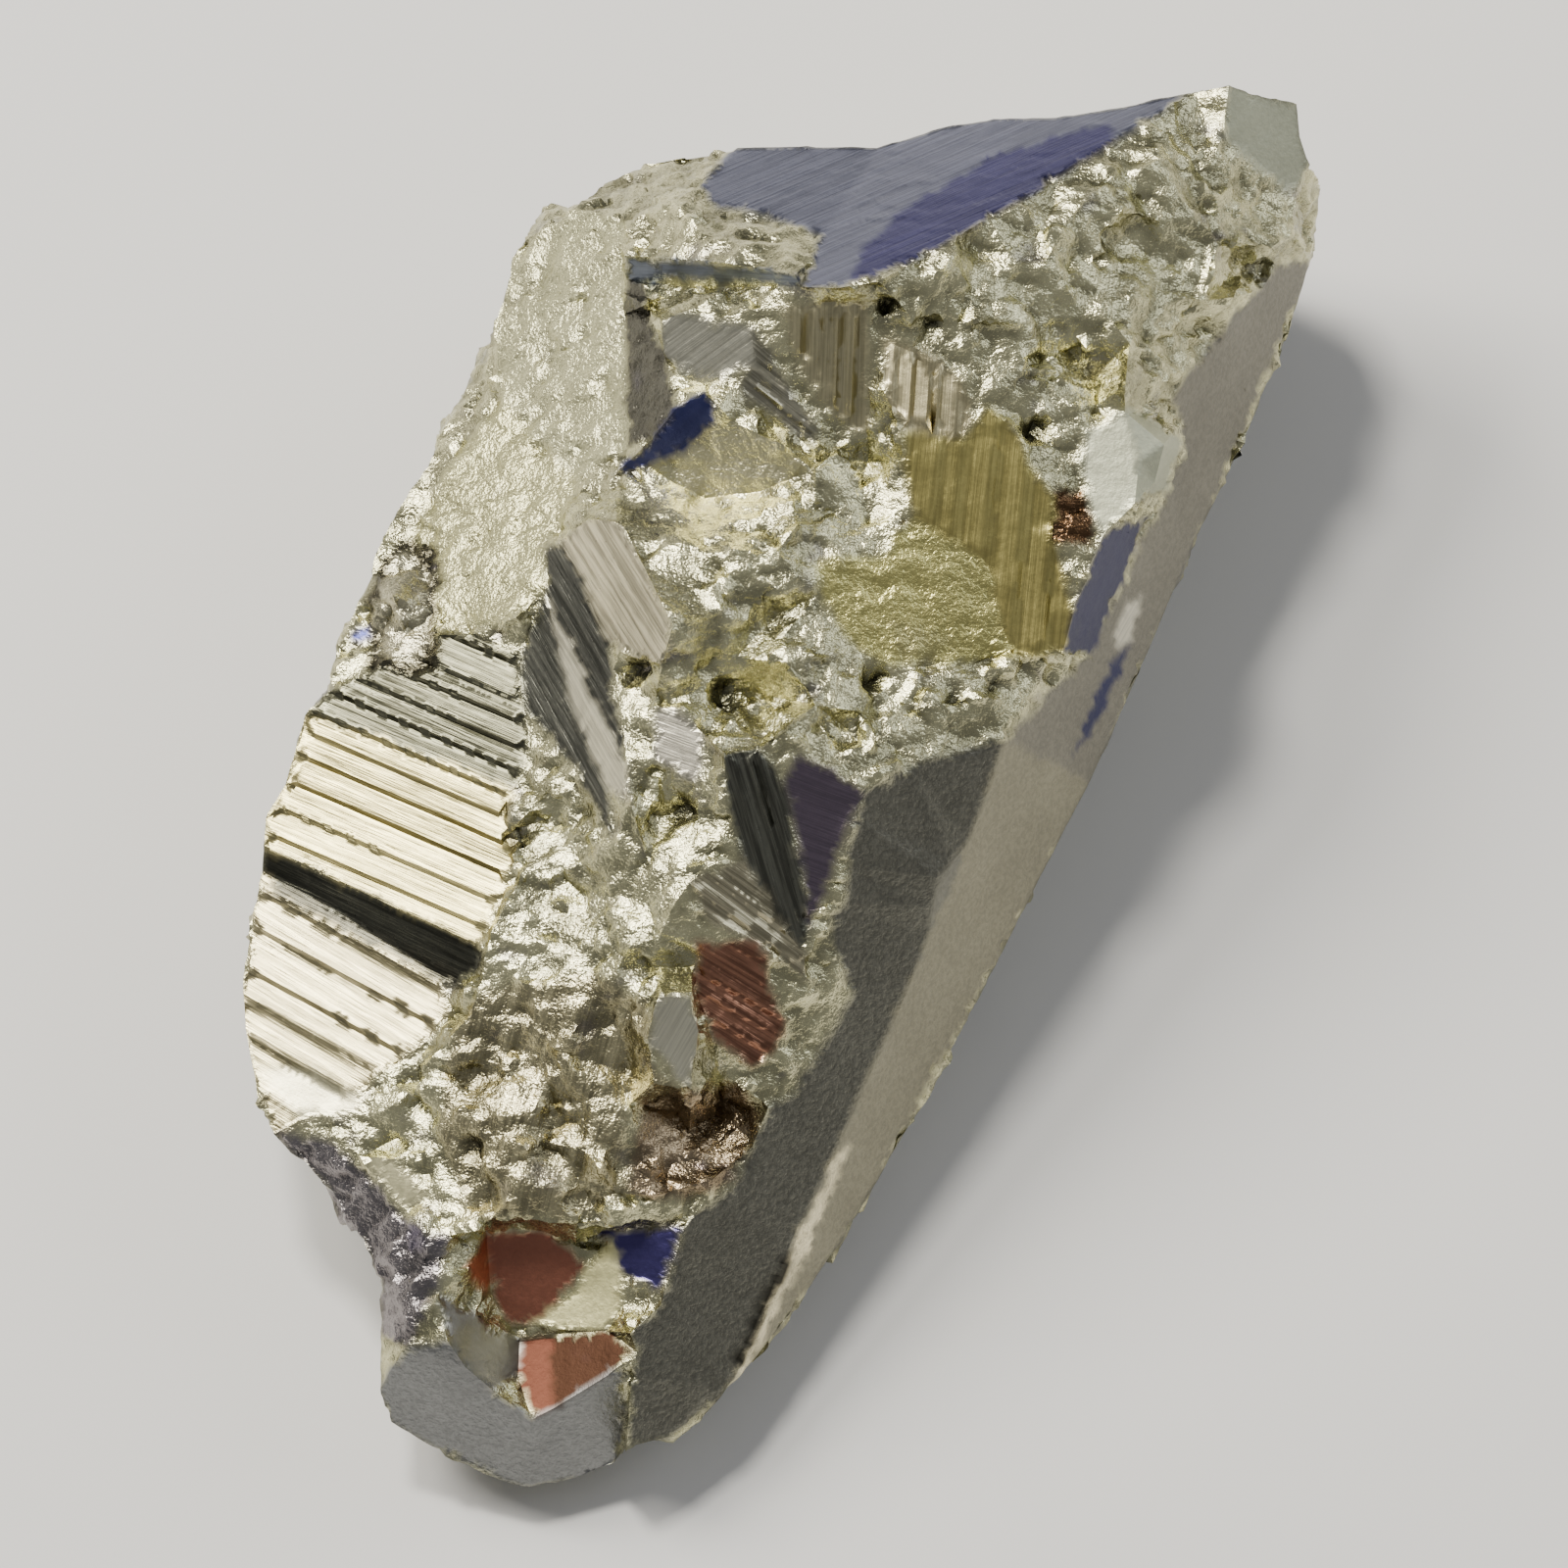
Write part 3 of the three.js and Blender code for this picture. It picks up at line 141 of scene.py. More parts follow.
FACES = [
    # Painted reflection: the blue of the far slope and its deep blue stand for the sky reflected in them.
    ("far slope", "scratched", (112, 115, 134), 24,
     [(-5.2, 38.8), (-3, 41.5), (6, 41.5), (13.5, 43.5), (26.8, 45), (22, 41.7), (16, 37.8), (9, 33.6),
      (3.5, 31.4), (1, 31.5), (2.5, 35), (-1, 36.3), (-5, 37.4)]),
    ("deep blue of the slope", "scratched", (66, 64, 108), 24,
     [(4, 31.6), (9, 33.6), (16, 37.8), (21, 41), (21, 42.6), (14, 40.5), (8, 37), (5, 34)]),
    ("ledge band", "scratched", (104, 110, 120), -5,
     [(-10.1, 33.8), (-4.2, 33.2), (1, 32.3), (1, 31.5), (-10.1, 32.2)]),
    # Painted shade: the inner wall turns from the light and is coloured dark.
    ("inner wall", "hammered", (92, 90, 80), 80,
     [(-10.2, 32.4), (-9, 32), (-8.2, 28.5), (-7, 25), (-6.9, 23.8), (-8.2, 22.2), (-10, 21.4),
      (-10.3, 30)]),
    ("upper flank", "hammered", (210, 207, 166), 0,
     [(-18.8, 29.5), (-17.6, 34), (-13.5, 37.2), (-10.2, 36.2), (-10.4, 31), (-10, 21.4), (-13, 19.6),
      (-16, 22), (-18.3, 25.2)]),
    ("middle flank", "hammered", (204, 200, 154), 0,
     [(-18.3, 25.2), (-16, 22), (-13, 19.6), (-15.2, 15), (-15.2, 12.3), (-17, 10.6), (-22.3, 9.5),
      (-22.6, 12.5), (-24.3, 15.3), (-21.8, 20)]),
    ("upper growth lines", "lined", (112, 111, 92), -23,
     [(-30.7, 4.6), (-29.2, 6), (-22.3, 9.5), (-19.5, 9.6), (-16.9, 8.3), (-16.2, 1.5), (-17, -0.4)]),
    ("lower growth lines", "lined", (212, 200, 144), -23,
     [(-30.7, 4.6), (-17, -0.4), (-17.6, -1), (-17.2, -5), (-19.2, -10.3), (-28, -6.3), (-33.4, -3.9),
      (-33.2, -2.2)]),
    # Painted shade: the riser between growth lines is coloured dark.
    ("flank riser", "lined", (84, 84, 74), -25,
     [(-33.5, -3.9), (-28, -6.3), (-19.2, -10.3), (-19.6, -12.2), (-22.3, -11.9), (-27, -9),
      (-33.5, -5.6)]),
    ("lower flank", "lined", (206, 195, 152), -30,
     [(-33.5, -5.6), (-27, -9), (-22.3, -11.9), (-21, -14.5), (-25.5, -18.5), (-28, -20.3),
      (-32.5, -22.3), (-34.8, -15)]),
    ("ridge face", "lined", (208, 200, 170), -58,
     [(-14.3, 15.4), (-12.5, 16.9), (-10.3, 16.6), (-7, 10), (-7.7, 7.6), (-11.2, 8.9), (-13.3, 13.9)]),
    # Painted shade: the ridge's side turned from the light is coloured darker than its lit face.
    ("ridge dark side", "lined", (104, 104, 96), -60,
     [(-15.2, 15), (-14.3, 15.4), (-13.3, 13.9), (-11.2, 8.9), (-9.9, 1.2), (-11, 3), (-13.9, 9.7),
      (-15.2, 12.3)]),
    ("ridge tread", "fine lined", (230, 224, 198), -60,
     [(-15.2, 12.3), (-13.9, 9.7), (-11, 3), (-9.9, 1.2), (-9.7, -1.2), (-11.2, -0.3), (-13.5, 5),
      (-14.4, 8.5)]),
    # Painted shade: the ridge's foot side is coloured darker than its lit face.
    ("ridge foot side", "lined", (120, 120, 110), -60,
     [(-15.2, 12.3), (-13.5, 5), (-11.2, -0.3), (-10.8, -4), (-13.2, 1), (-16.4, 4.5), (-16.9, 8.3)]),
    ("bright chip", "scratched", (214, 208, 190), -20,
     [(-8.3, 5), (-6.5, 4.5), (-5.2, 3.3), (-5.1, 1), (-5.6, 0), (-8.2, 1.6)]),
    ("leaf crystal", "lined", (118, 118, 106), -73,
     [(-3.8, 2), (-1.5, 2.3), (0, 0.2), (1.7, -9), (1.2, -10.6), (-0.8, -8.3), (-2.6, -4.8),
      (-3.6, -1)]),
    # Painted reflection: the violet of this face stands for reflected sky.
    ("violet face", "scratched", (124, 112, 124), -20,
     [(0, 0.2), (1, 2), (4.9, -0.4), (3.2, -5), (1.7, -9), (1, -4)]),
    ("slanting face", "lined", (206, 198, 166), -36,
     [(-6, -6.2), (-4.4, -5.4), (-2.6, -4.8), (1.2, -10.6), (1.5, -12.3), (-4.8, -8.4)]),
    ("copper fan", "lined", (176, 128, 104), -32,
     [(-5.6, -9.9), (-1.5, -10), (-0.9, -13), (0.2, -15), (-0.8, -17.2), (-2, -18), (-4.5, -16),
      (-5.5, -13)]),
    ("grey facet", "fine lined", (216, 213, 192), 35,
     [(-7.8, 29.5), (-6.4, 29.9), (-2, 29), (-2, 26.6), (-5, 25.4), (-7.7, 27)]),
    ("wedge crystal", "lined", (186, 182, 160), -38,
     [(-2, 29), (0.2, 25.5), (2.3, 22.3), (1, 22), (-3, 25.1), (-2, 26.6)]),
    # Painted reflection: the blue lens is coloured by the sky it reflects.
    ("blue lens", "smooth", (70, 74, 124), 40,
     [(-5, 24.9), (-4.4, 24.3), (-4.6, 22.7), (-6.4, 21), (-10.9, 19.6), (-8.2, 22.2), (-6.9, 23.8)]),
    ("cream face", "hammered", (232, 226, 182), 0,
     [(-4.6, 22.7), (-3.3, 23), (0, 21.5), (2, 20), (-1.5, 18.6), (-5, 18.2), (-6.8, 19), (-6.4, 21)]),
    ("left column", "fine lined", (200, 192, 154), 88,
     [(0, 30.4), (5.4, 30.7), (5.3, 22.2), (3.3, 23), (0.4, 27.6)]),
    ("right column", "fine lined", (206, 196, 156), 86,
     [(6.1, 28.6), (10.3, 26.9), (12, 24.4), (11.4, 22), (7.4, 22.4), (6.3, 25)]),
    ("golden face", "fine lined", (198, 186, 116), 84,
     [(7.4, 22.4), (11.4, 22), (12.8, 23.9), (14.2, 23.2), (17.2, 18), (17.2, 15.4), (18.4, 11),
      (17.7, 8.3), (14.5, 8), (12.6, 14.3), (8, 17)]),
    ("golden floor", "hammered", (208, 201, 130), 60,
     [(2, 14.2), (6.5, 14.6), (8, 17), (12.6, 14.3), (14.5, 8), (7, 7.5), (4.5, 8.6), (2.3, 12)]),
    # Painted shade: the slot is coloured nearly black where it lies in shadow, with a blue cast.
    ("dark slot", "smooth", (50, 50, 84), 70,
     [(20.3, 15.8), (23.4, 17.1), (19.6, 8.3), (17.7, 8.3), (18.4, 11)]),
    ("corner block", "satin", (202, 204, 178), 55,
     [(19.2, 22.6), (22, 24), (25.5, 22), (24.5, 19), (22.3, 17.9), (20.3, 15.8), (19.4, 17.5),
      (18.9, 20)]),
    ("peak crystal", "satin", (188, 190, 166), -48,
     [(28.6, 45), (33.2, 44), (33.9, 40), (33, 38), (31, 39.2), (28.2, 41.6)]),
    ("dark plane", "frosted", (126, 125, 114), 0,
     [(4.9, -0.4), (9.5, 1.7), (14, 2.9), (11.7, -3.8), (9.3, -9.5), (5, -19.5), (1.2, -28),
      (-3.7, -38.6), (-7, -41.6), (-10, -42.3), (-9.3, -36), (-9.8, -34.8), (-7.8, -33), (-6.1, -27.7),
      (-2.8, -25), (-1, -20.5), (0.5, -19.8), (4.3, -13.2), (3, -10)]),
    ("upper side", "frosted", (132, 129, 117), 0,
     [(14, 2.9), (19.7, 0), (26.4, 15), (34.4, 34), (31.8, 33.5), (26, 26.5), (25, 24.8), (25.8, 21.3),
      (19.6, 8.3)]),
    ("lower side", "frosted", (148, 144, 124), 0,
     [(14, 2.9), (11.7, -3.8), (9.3, -9.5), (5, -19.5), (1.2, -28), (-3.7, -38.6), (-2, -37), (4, -29),
      (19.8, 0)]),
    ("tip", "frosted", (132, 133, 132), 0,
     [(-16, -40.3), (-10.1, -36.9), (-10.6, -43.4), (-16.2, -45.2), (-25.2, -40.8), (-25.8, -38.5),
      (-24, -35.6), (-21.3, -35.2), (-18.4, -38.5)]),
    ("hollow left", "smooth", (150, 148, 140), -40,
     [(-21.8, -32.2), (-18, -34.6), (-16.8, -35.2), (-16.9, -37.6), (-18.4, -38.5), (-21.3, -35.2)]),
    # Painted reflections: the copper and salmon faces of the hollow stand for warm surroundings, the cream
    # face for a bright one and the blue face for the sky, all reflected in its crystals.
    ("hollow copper low", "satin", (60, 41, 31), 0,
     [(-14.9, -35), (-11.3, -34.7), (-9.5, -36), (-11.2, -37.5), (-14.6, -39.6)]),
    ("hollow salmon", "satin", (84, 52, 41), 0,
     [(-16.8, -35.2), (-14.9, -35), (-14.6, -39.6), (-16, -40.3), (-16.9, -37.6)]),
    ("hollow copper high", "satin", (164, 110, 91), 0,
     [(-18.9, -28.4), (-14.8, -28.5), (-12.7, -30.6), (-15, -33.6), (-16.2, -34.4), (-17.8, -34.2),
      (-18.8, -30)]),
    ("hollow chip", "satin", (214, 138, 104), 0,
     [(-20.1, -30.8), (-18.9, -28.4), (-18.6, -32.4), (-19.8, -31.5)]),
    ("hollow cream", "satin", (250, 244, 184), 0,
     [(-16.2, -34.4), (-13.3, -32.2), (-12.7, -30.6), (-10.9, -29), (-10.3, -31), (-10.2, -33),
      (-11.3, -34.7)]),
    ("hollow blue", "smooth", (80, 74, 124), 0,
     [(-12.6, -28.6), (-6.3, -28), (-7.9, -32), (-10.3, -31), (-10.9, -29)]),
    ("cream lens", "smooth", (232, 226, 182), 0,
     [(-27, -23.6), (-24.5, -23.8), (-22.4, -26.2), (-24, -27), (-25.5, -25.8)]),
    ("knob crystal", "scratched", (236, 232, 206), 60,
     [(-8, -13.4), (-5.9, -13.4), (-5.4, -15.6), (-5.8, -19.4), (-8.6, -16)]),
    # Painted shade: a second riser, coloured dark.
    ("second riser", "lined", (92, 90, 78), -26,
     [(-32.8, -6), (-26, -9.4), (-20.3, -12.2), (-20.6, -13.2), (-26, -10.5), (-33, -7)]),
    ("pale patch", "smooth", (222, 216, 180), -30,
     [(-33.5, -18), (-30, -18.2), (-26.5, -20), (-27.5, -21), (-31, -21.4)]),
    # Painted shade: the gap round the lump is coloured dark.
    ("gap round the left lump", "broken", (92, 88, 72), 0,
     [(-26.9, 7.5), (-24, 6.9), (-22.2, 7.6), (-22.2, 15.2), (-24.3, 16), (-26.6, 13.4)]),
    ("left lump", "broken", (206, 200, 168), 0,
     [(-26, 8.2), (-23.5, 7.8), (-22.8, 10), (-22.9, 13.5), (-24.3, 15.2), (-25.9, 13), (-26.3, 10)]),
    # Painted reflection: the blue chip is coloured by the sky it reflects.
    ("blue chip", "smooth", (70, 74, 124), 0,
     [(-28.2, 9), (-27, 9.1), (-26.2, 10), (-27.4, 10.1)]),
    ("brown pit", "broken", (112, 86, 62), 0,
     [(17.2, 18.7), (19, 18.7), (20, 16), (19.5, 15), (17.2, 15.3)]),
    # Painted shade: the narrow slit is coloured nearly black, with a blue cast.
    ("navy sliver", "smooth", (48, 50, 84), 70,
     [(22.3, 9.2), (21, 7.8), (19.5, 4.5), (18.5, 1.6), (21, 5.5)]),
    ("side chip", "scratched", (206, 202, 184), 60,
     [(21, 8.5), (22.4, 9.3), (23, 12), (21.9, 11.4)]),
    # Painted highlight: the sunlit lip along the edge is coloured brighter.
    ("bright lip", "hammered", (236, 226, 190), 60,
     [(3.5, -23.5), (4.3, -23), (1.6, -29.5), (-2.6, -38), (-3.3, -38.2), (0.4, -30)]),
    # Painted shade: the groove beside the lip is coloured dark.
    ("groove by the lip", "smooth", (64, 62, 54), 60,
     [(0.1, -29.6), (0.6, -30.2), (-2.7, -37.2), (-3.3, -36.8)]),
    ("fibrous break", "fibrous", (208, 199, 158), 75,
     [(-19, -13), (-12, -12), (-8.5, -14), (-8.8, -17), (-6, -20), (-10, -20), (-10, -26), (-13, -27.5),
      (-20, -27.5), (-22, -22), (-21, -16)]),
    ("tarnished edge", "broken", (146, 140, 140), 0,
     [(-33, -22), (-28.5, -22.8), (-24, -27.6), (-21, -28.6), (-22, -32), (-24, -35.6), (-26.5, -35),
      (-27.5, -29)]),
    ("brown breaks", "broken", (168, 150, 122), 0,
     [(-9, -20), (-3, -19), (-1.5, -21), (-3, -25), (-6, -26.5), (-10, -26)]),
]
PITS = [  # across, up, radius
    (-9.7, 7.2, 0.9), (-3.5, 5.8, 1), (-6.7, -1.8, 1), (6.5, 30, 0.7), (9.5, 29, 0.7), (16, 22.7, 0.9),
    (5.8, 6.7, 0.9), (11, 5.5, 0.8), (13.7, 6.3, 0.8), (-20, -23, 0.9), (-17, -3.5, 0.9),
]
print(len(FACES), "faces with a finish of their own,", len(FINISHES), "finishes")

# %% [markdown]
# Each triangle of the copy takes the finish of the face that it lies in. Stone that no face claims is
# broken on the front and weathered on the sides.

# %% Say on the mesh which finish is where
count = len(mesh.polygons)
centres = np.empty(count * 3)
mesh.polygons.foreach_get("center", centres)
centres = centres.reshape(-1, 3) / MM
normals = np.empty(count * 3)
mesh.polygons.foreach_get("normal", normals)
normals = normals.reshape(-1, 3)


def seen_at(places):
    """Millimetres across and up the view for places in millimetres."""
    up = (places[:, 1] + SURVEY_MIDDLE[1]) * math.cos(VIEW_LEAN) + places[:, 2] * math.sin(VIEW_LEAN)
    return np.column_stack([places[:, 0] + SURVEY_MIDDLE[0], up])


def inside(outline, points):
    within = np.zeros(len(points), bool)
    for (ax, ay), (bx, by) in zip(outline, outline[1:] + outline[:1]):
        spans = (ay > points[:, 1]) != (by > points[:, 1])
        reach = ax + (points[:, 1] - ay) / ((by - ay) or 1e-9) * (bx - ax)
        within ^= spans & (points[:, 0] < reach)
    return within


def linear(colour):
    """A display colour from 0 to 255 as the linear colour that shaders take."""
    return [(v / 255 / 12.92) if v <= 10 else ((v / 255 + 0.055) / 1.055) ** 2.4 for v in colour]


front = normals @ np.array(TO_EYE) > SEEN
foot = (normals[:, 2] < FACING_DOWN) & (centres[:, 2] < FOOT_HEIGHT)
view = seen_at(centres)
for axis in (0, 1):  # a face's finish ends in a wavering edge, not on a ruled line
    waves = [np.sin(view[:, 1 - axis] * pace + phase) for pace, phase in WAVES]
    view[:, axis] += WAVER * np.sum(waves, axis=0)
finish = np.tile(FINISHES["broken"], (count, 1))
tint = np.tile([*linear(BREAK_COLOUR), 1.0], (count, 1))
angle = np.zeros(count)
tint[~front, :3] = linear(SIDE_COLOUR)
finish[~front] = FINISHES["weathered"]
finish[~front & (normals[:, 0] > STRAIGHT_SIDE)] = FINISHES["frosted"]
finish[foot] = FINISHES["foot"]
for name, kind, colour, turn, outline in FACES:
    here = front & inside(outline, view)
    finish[here] = FINISHES[kind]
    tint[here, :3] = linear(colour)
    angle[here] = math.radians(turn)
pit = np.zeros(count)
for across, up, radius in PITS:
    far = np.hypot(view[:, 0] - across, view[:, 1] - up) / radius
    pit = np.maximum(pit, np.where(front, np.clip(1 - far ** 2, 0, 1), 0))
hackly, lines, frost, polish, fineness = finish.T
by_face = {"hackly": hackly, "lines": lines, "frost": frost, "polish": polish, "pit": pit}
for label, values in by_face.items():
    layer = mesh.attributes.new(label, "FLOAT", "FACE")
    layer.data.foreach_set("value", values.astype(np.float32))
tints = mesh.attributes.new("tint", "FLOAT_COLOR", "FACE")
tints.data.foreach_set("color", tint.astype(np.float32).ravel())
print("front share:", round(front.mean(), 2), "with attributes", list(by_face))

# %% [markdown]
# Growth lines run along a face, so a pattern of them needs to know which way that is. A UV map holds it:
# along the lines in one direction and across them in the other, in millimetres, turned to each face's own
# angle. A finish with finer lines counts more of them to the millimetre.

# %% Lines along each face
corners = np.empty(len(mesh.loops), np.int32)
mesh.loops.foreach_get("vertex_index", corners)
places = np.empty(len(mesh.vertices) * 3)
mesh.vertices.foreach_get("co", places)
corner_view = seen_at(places.reshape(-1, 3) / MM)[corners]
turn = np.repeat(angle, 3)
along = corner_view[:, 0] * np.cos(turn) + corner_view[:, 1] * np.sin(turn)
across = corner_view[:, 1] * np.cos(turn) - corner_view[:, 0] * np.sin(turn)
across *= np.repeat(fineness, 3)
lines_map = mesh.uv_layers.new(name="growth")
lines_map.data.foreach_set("uv", np.column_stack([along, across]).astype(np.float32).ravel())
print("growth map:", len(lines_map.data), "corners")

# %% [markdown]
# Node trees are easier to read as sums. One small class stands for a socket: Python's operators add Math
# nodes behind it, and its add method makes any other node from its type, its settings and what feeds it.


# %% Node trees as expressions
class Wire:
    def __init__(self, tree, socket=None):
        self.tree, self.socket = tree, socket

    def add(self, kind, settings=None, feeds=None, out=0):
        node = self.tree.nodes.new(kind)
        for key, value in (settings or {}).items():
            setattr(node, key, value)
        for key, value in (feeds or {}).items():
            if isinstance(value, Wire):
                self.tree.links.new(value.socket, node.inputs[key])
            else:
                node.inputs[key].default_value = value
        return Wire(self.tree, node.outputs[out])

    def other(self, out):
        return Wire(self.tree, self.socket.node.outputs[out])

    def math(self, operation, a, b=0.0):
        return self.add("ShaderNodeMath", {"operation": operation}, {0: a, 1: b})

    def vector(self, operation, a, b=(0, 0, 0), out=0):
        return self.add("ShaderNodeVectorMath", {"operation": operation}, {0: a, 1: b}, out)

    def scaled(self, factor):
        return self.add("ShaderNodeVectorMath", {"operation": "SCALE"}, {0: self, "Scale": factor})

    def between(self, low, high):
        """0 below low, 1 above high, and smooth in between."""
        settings = {"interpolation_type": "SMOOTHSTEP"}
        feeds = {"Value": self, "From Min": low, "From Max": high}
        return self.add("ShaderNodeMapRange", settings, feeds)

    def noise(self, scale, detail=2.0, rough=0.6, axes="3D"):
        feeds = {"Vector": self, "Scale": scale, "Detail": detail, "Roughness": rough}
        return self.add("ShaderNodeTexNoise", {"noise_dimensions": axes}, feeds)

    def blend(self, share, other, kind="MIX"):
        feeds = {0: share, 6: self, 7: other}
        return self.add("ShaderNodeMix", {"data_type": "RGBA", "blend_type": kind}, feeds, 2)

    def times(self, shade):
        """A colour made darker or lighter by a number."""
        grey = self.add("ShaderNodeCombineXYZ", None, {0: shade, 1: shade, 2: shade})
        return self.blend(1.0, grey, "MULTIPLY")

    def __add__(self, b):
        return self.math("ADD", self, b)

    def __radd__(self, b):
        return self.math("ADD", b, self)

    def __sub__(self, b):
        return self.math("SUBTRACT", self, b)

    def __rsub__(self, b):
        return self.math("SUBTRACT", b, self)

    def __mul__(self, b):
        return self.math("MULTIPLY", self, b)

    def __rmul__(self, b):
        return self.math("MULTIPLY", b, self)


print("operators ready")

# %% [markdown]
# Up close, a fresh break is a crowd of small tilted planes, a grown face is a flight of very low steps,
# and a weathered face is frosted with tiny grains. A Geometry Nodes tree moves the points of the copy:
# Voronoi cells, each tilted its own way, for the break; strips at their own level for the steps; fine
# noise for the frost. It also keeps each point's colour, with painted shade in the crevices and pits and
# tarnish in clouds, for the metal to use.

# %% Relief tree
DARK_TARNISH = (*linear((70, 62, 50)), 1.0)
VIOLET_TARNISH = (*linear((96, 86, 128)), 1.0)
DARK_SHARE, VIOLET_SHARE = 0.45, 0.35
CLOUD_DARKEST, CLOUD_RANGE = 0.78, 0.44
# How strongly painted shade darkens the crevices of the breaks and the pits.
CREVICE_PAINTED_SHADE, PIT_PAINTED_SHADE = 0.5, 0.75
CLOUDS, DARK_CLOUDS, VIOLET_CLOUDS, FOLDS, WARP = 0.16, 0.55, 0.3, 0.55, 0.7  # patterns to the millimetre
WARP_REACH = 1.3
FLAKE_SHAPE = (0.62, 1.15, 1.15)  # flakes are longer across the specimen than along it
CHIP_EDGE, SMALL_CHIP_SHARE = 0.12, 0.8
LEVEL_WEIGHTS = (0.6, 0.3, 0.1)
STEP_WANDER, STEP_UNEVEN = (0.12, 1.2), (0.45, 1.8)  # how often lines stray, and how far
STEP_STRETCH, STEP_STAGGER = 0.14, 0.37  # a step ends after a stretch, not level with its neighbours
FOLD_HEIGHT, FOLD_SINK = 4.0, 0.16
MIDDLE = (0.5, 0.5, 0.5)
RELIEF_SIZES = {  # all in millimetres, but for the tilt
    "Chip size": 2.2, "Small chip size": 0.85, "Chip tilt": 0.46, "Chip lift": 0.3, "Crumple": 0.4,
    "Step pitch": 0.5, "Step depth": 0.035, "Grain size": 0.42, "Grain depth": 0.05, "Pit depth": 0.9,
}
relief = bpy.data.node_groups.new("pyrite relief", "GeometryNodeTree")
relief.interface.new_socket("Geometry", in_out="INPUT", socket_type="NodeSocketGeometry")
relief.interface.new_socket("Geometry", in_out="OUTPUT", socket_type="NodeSocketGeometry")
sockets = {}
for label in RELIEF_SIZES:
    sockets[label] = relief.interface.new_socket(label, in_out="INPUT", socket_type="NodeSocketFloat")
inputs = relief.nodes.new("NodeGroupInput")
size = {label: Wire(relief, inputs.outputs[label]) for label in RELIEF_SIZES}
w = Wire(relief)


def named(label, kind="FLOAT"):
    return w.add("GeometryNodeInputNamedAttribute", {"data_type": kind}, {"Name": label})


place = w.add("GeometryNodeInputPosition").scaled(1 / MM)
broken, pitted = named("hackly"), named("pit")
print("relief inputs:", list(sockets))

# %% Hackly breaks
warp = place.noise(WARP, 2.0, 0.5).other(1)
warped = w.vector("ADD", place, w.vector("SUBTRACT", warp, MIDDLE).scaled(WARP_REACH))
warped = w.vector("MULTIPLY", warped, FLAKE_SHAPE)


def chips(chip_size):
    """The lift of a crowd of small planes: each Voronoi cell tilts by its own random colour."""
    feeds = {"Vector": warped, "Scale": w.math("DIVIDE", 1.0, chip_size), "Smoothness": CHIP_EDGE}
    cells = w.add("ShaderNodeTexVoronoi", {"feature": "SMOOTH_F1"}, feeds, 1)
    lean = w.vector("SUBTRACT", cells, MIDDLE)
    from_middle = w.vector("SUBTRACT", warped, cells.other(2))
    tilted = w.vector("DOT_PRODUCT", lean, from_middle, 1) * size["Chip tilt"]
    level = w.vector("DOT_PRODUCT", lean, LEVEL_WEIGHTS, 1)
    return tilted + level * size["Chip lift"] * chip_size * 0.5


folds = warped.noise(FOLDS, 3.0)
crumple = w.math("ABSOLUTE", folds - 0.5) * size["Crumple"] * FOLD_HEIGHT - FOLD_SINK
flakes = chips(size["Chip size"]) + chips(size["Small chip size"]) * SMALL_CHIP_SHARE + crumple
print("breaks:", len(relief.nodes), "nodes")

# %% Growth steps and frost
along = w.add("ShaderNodeSeparateXYZ", None, {0: named("growth", "FLOAT_VECTOR")})
across = along.other(1)


def stray(position, often, far):
    feeds = {"W": position * often, "Detail": 1.0}
    return w.add("ShaderNodeTexNoise", {"noise_dimensions": "1D"}, feeds) * far


step = w.math("DIVIDE", across, size["Step pitch"])
strip = w.math("FLOOR", step + stray(along, *STEP_WANDER) + stray(across, *STEP_UNEVEN))
stretch = w.math("FLOOR", along * STEP_STRETCH + strip * STEP_STAGGER)
tread = w.add("ShaderNodeCombineXYZ", None, {0: strip, 1: stretch})
level = w.add("ShaderNodeTexWhiteNoise", {"noise_dimensions": "2D"}, {"Vector": tread}) - 0.5
grain = place.noise(w.math("DIVIDE", 1.0, size["Grain size"]), 2.0, 0.5) - 0.5
steps = named("lines") * level * size["Step depth"]
frosting = named("frost") * grain * size["Grain depth"]
print("steps and frost:", len(relief.nodes), "nodes")

# %% Colour of each point
# Painted shade: the low points of the breaks are darkened, as if shadowed in their crevices.
crevice_shade_mask = 1 - (broken * flakes).between(-0.32, 0.06)
shade = CLOUD_DARKEST + place.noise(CLOUDS, 3.0) * CLOUD_RANGE
shade = shade * (1 - broken * CREVICE_PAINTED_SHADE * crevice_shade_mask)
# Painted shade: the pits are darkened as well as sunk.
shade = shade * (1 - pitted.between(0.1, 0.7) * PIT_PAINTED_SHADE)
dark = place.noise(DARK_CLOUDS, 4.0, 0.7).between(0.57, 0.69)
violet = place.noise(VIOLET_CLOUDS, 3.0).between(0.6, 0.7)
tone = named("tint", "FLOAT_COLOR").times(shade)
tone = tone.blend(broken * dark * DARK_SHARE, DARK_TARNISH)
tone = tone.blend(broken * violet * VIOLET_SHARE, VIOLET_TARNISH)
surface = {0: named("lines"), 1: named("frost"), 2: named("polish")}
print("colour:", len(relief.nodes), "nodes")

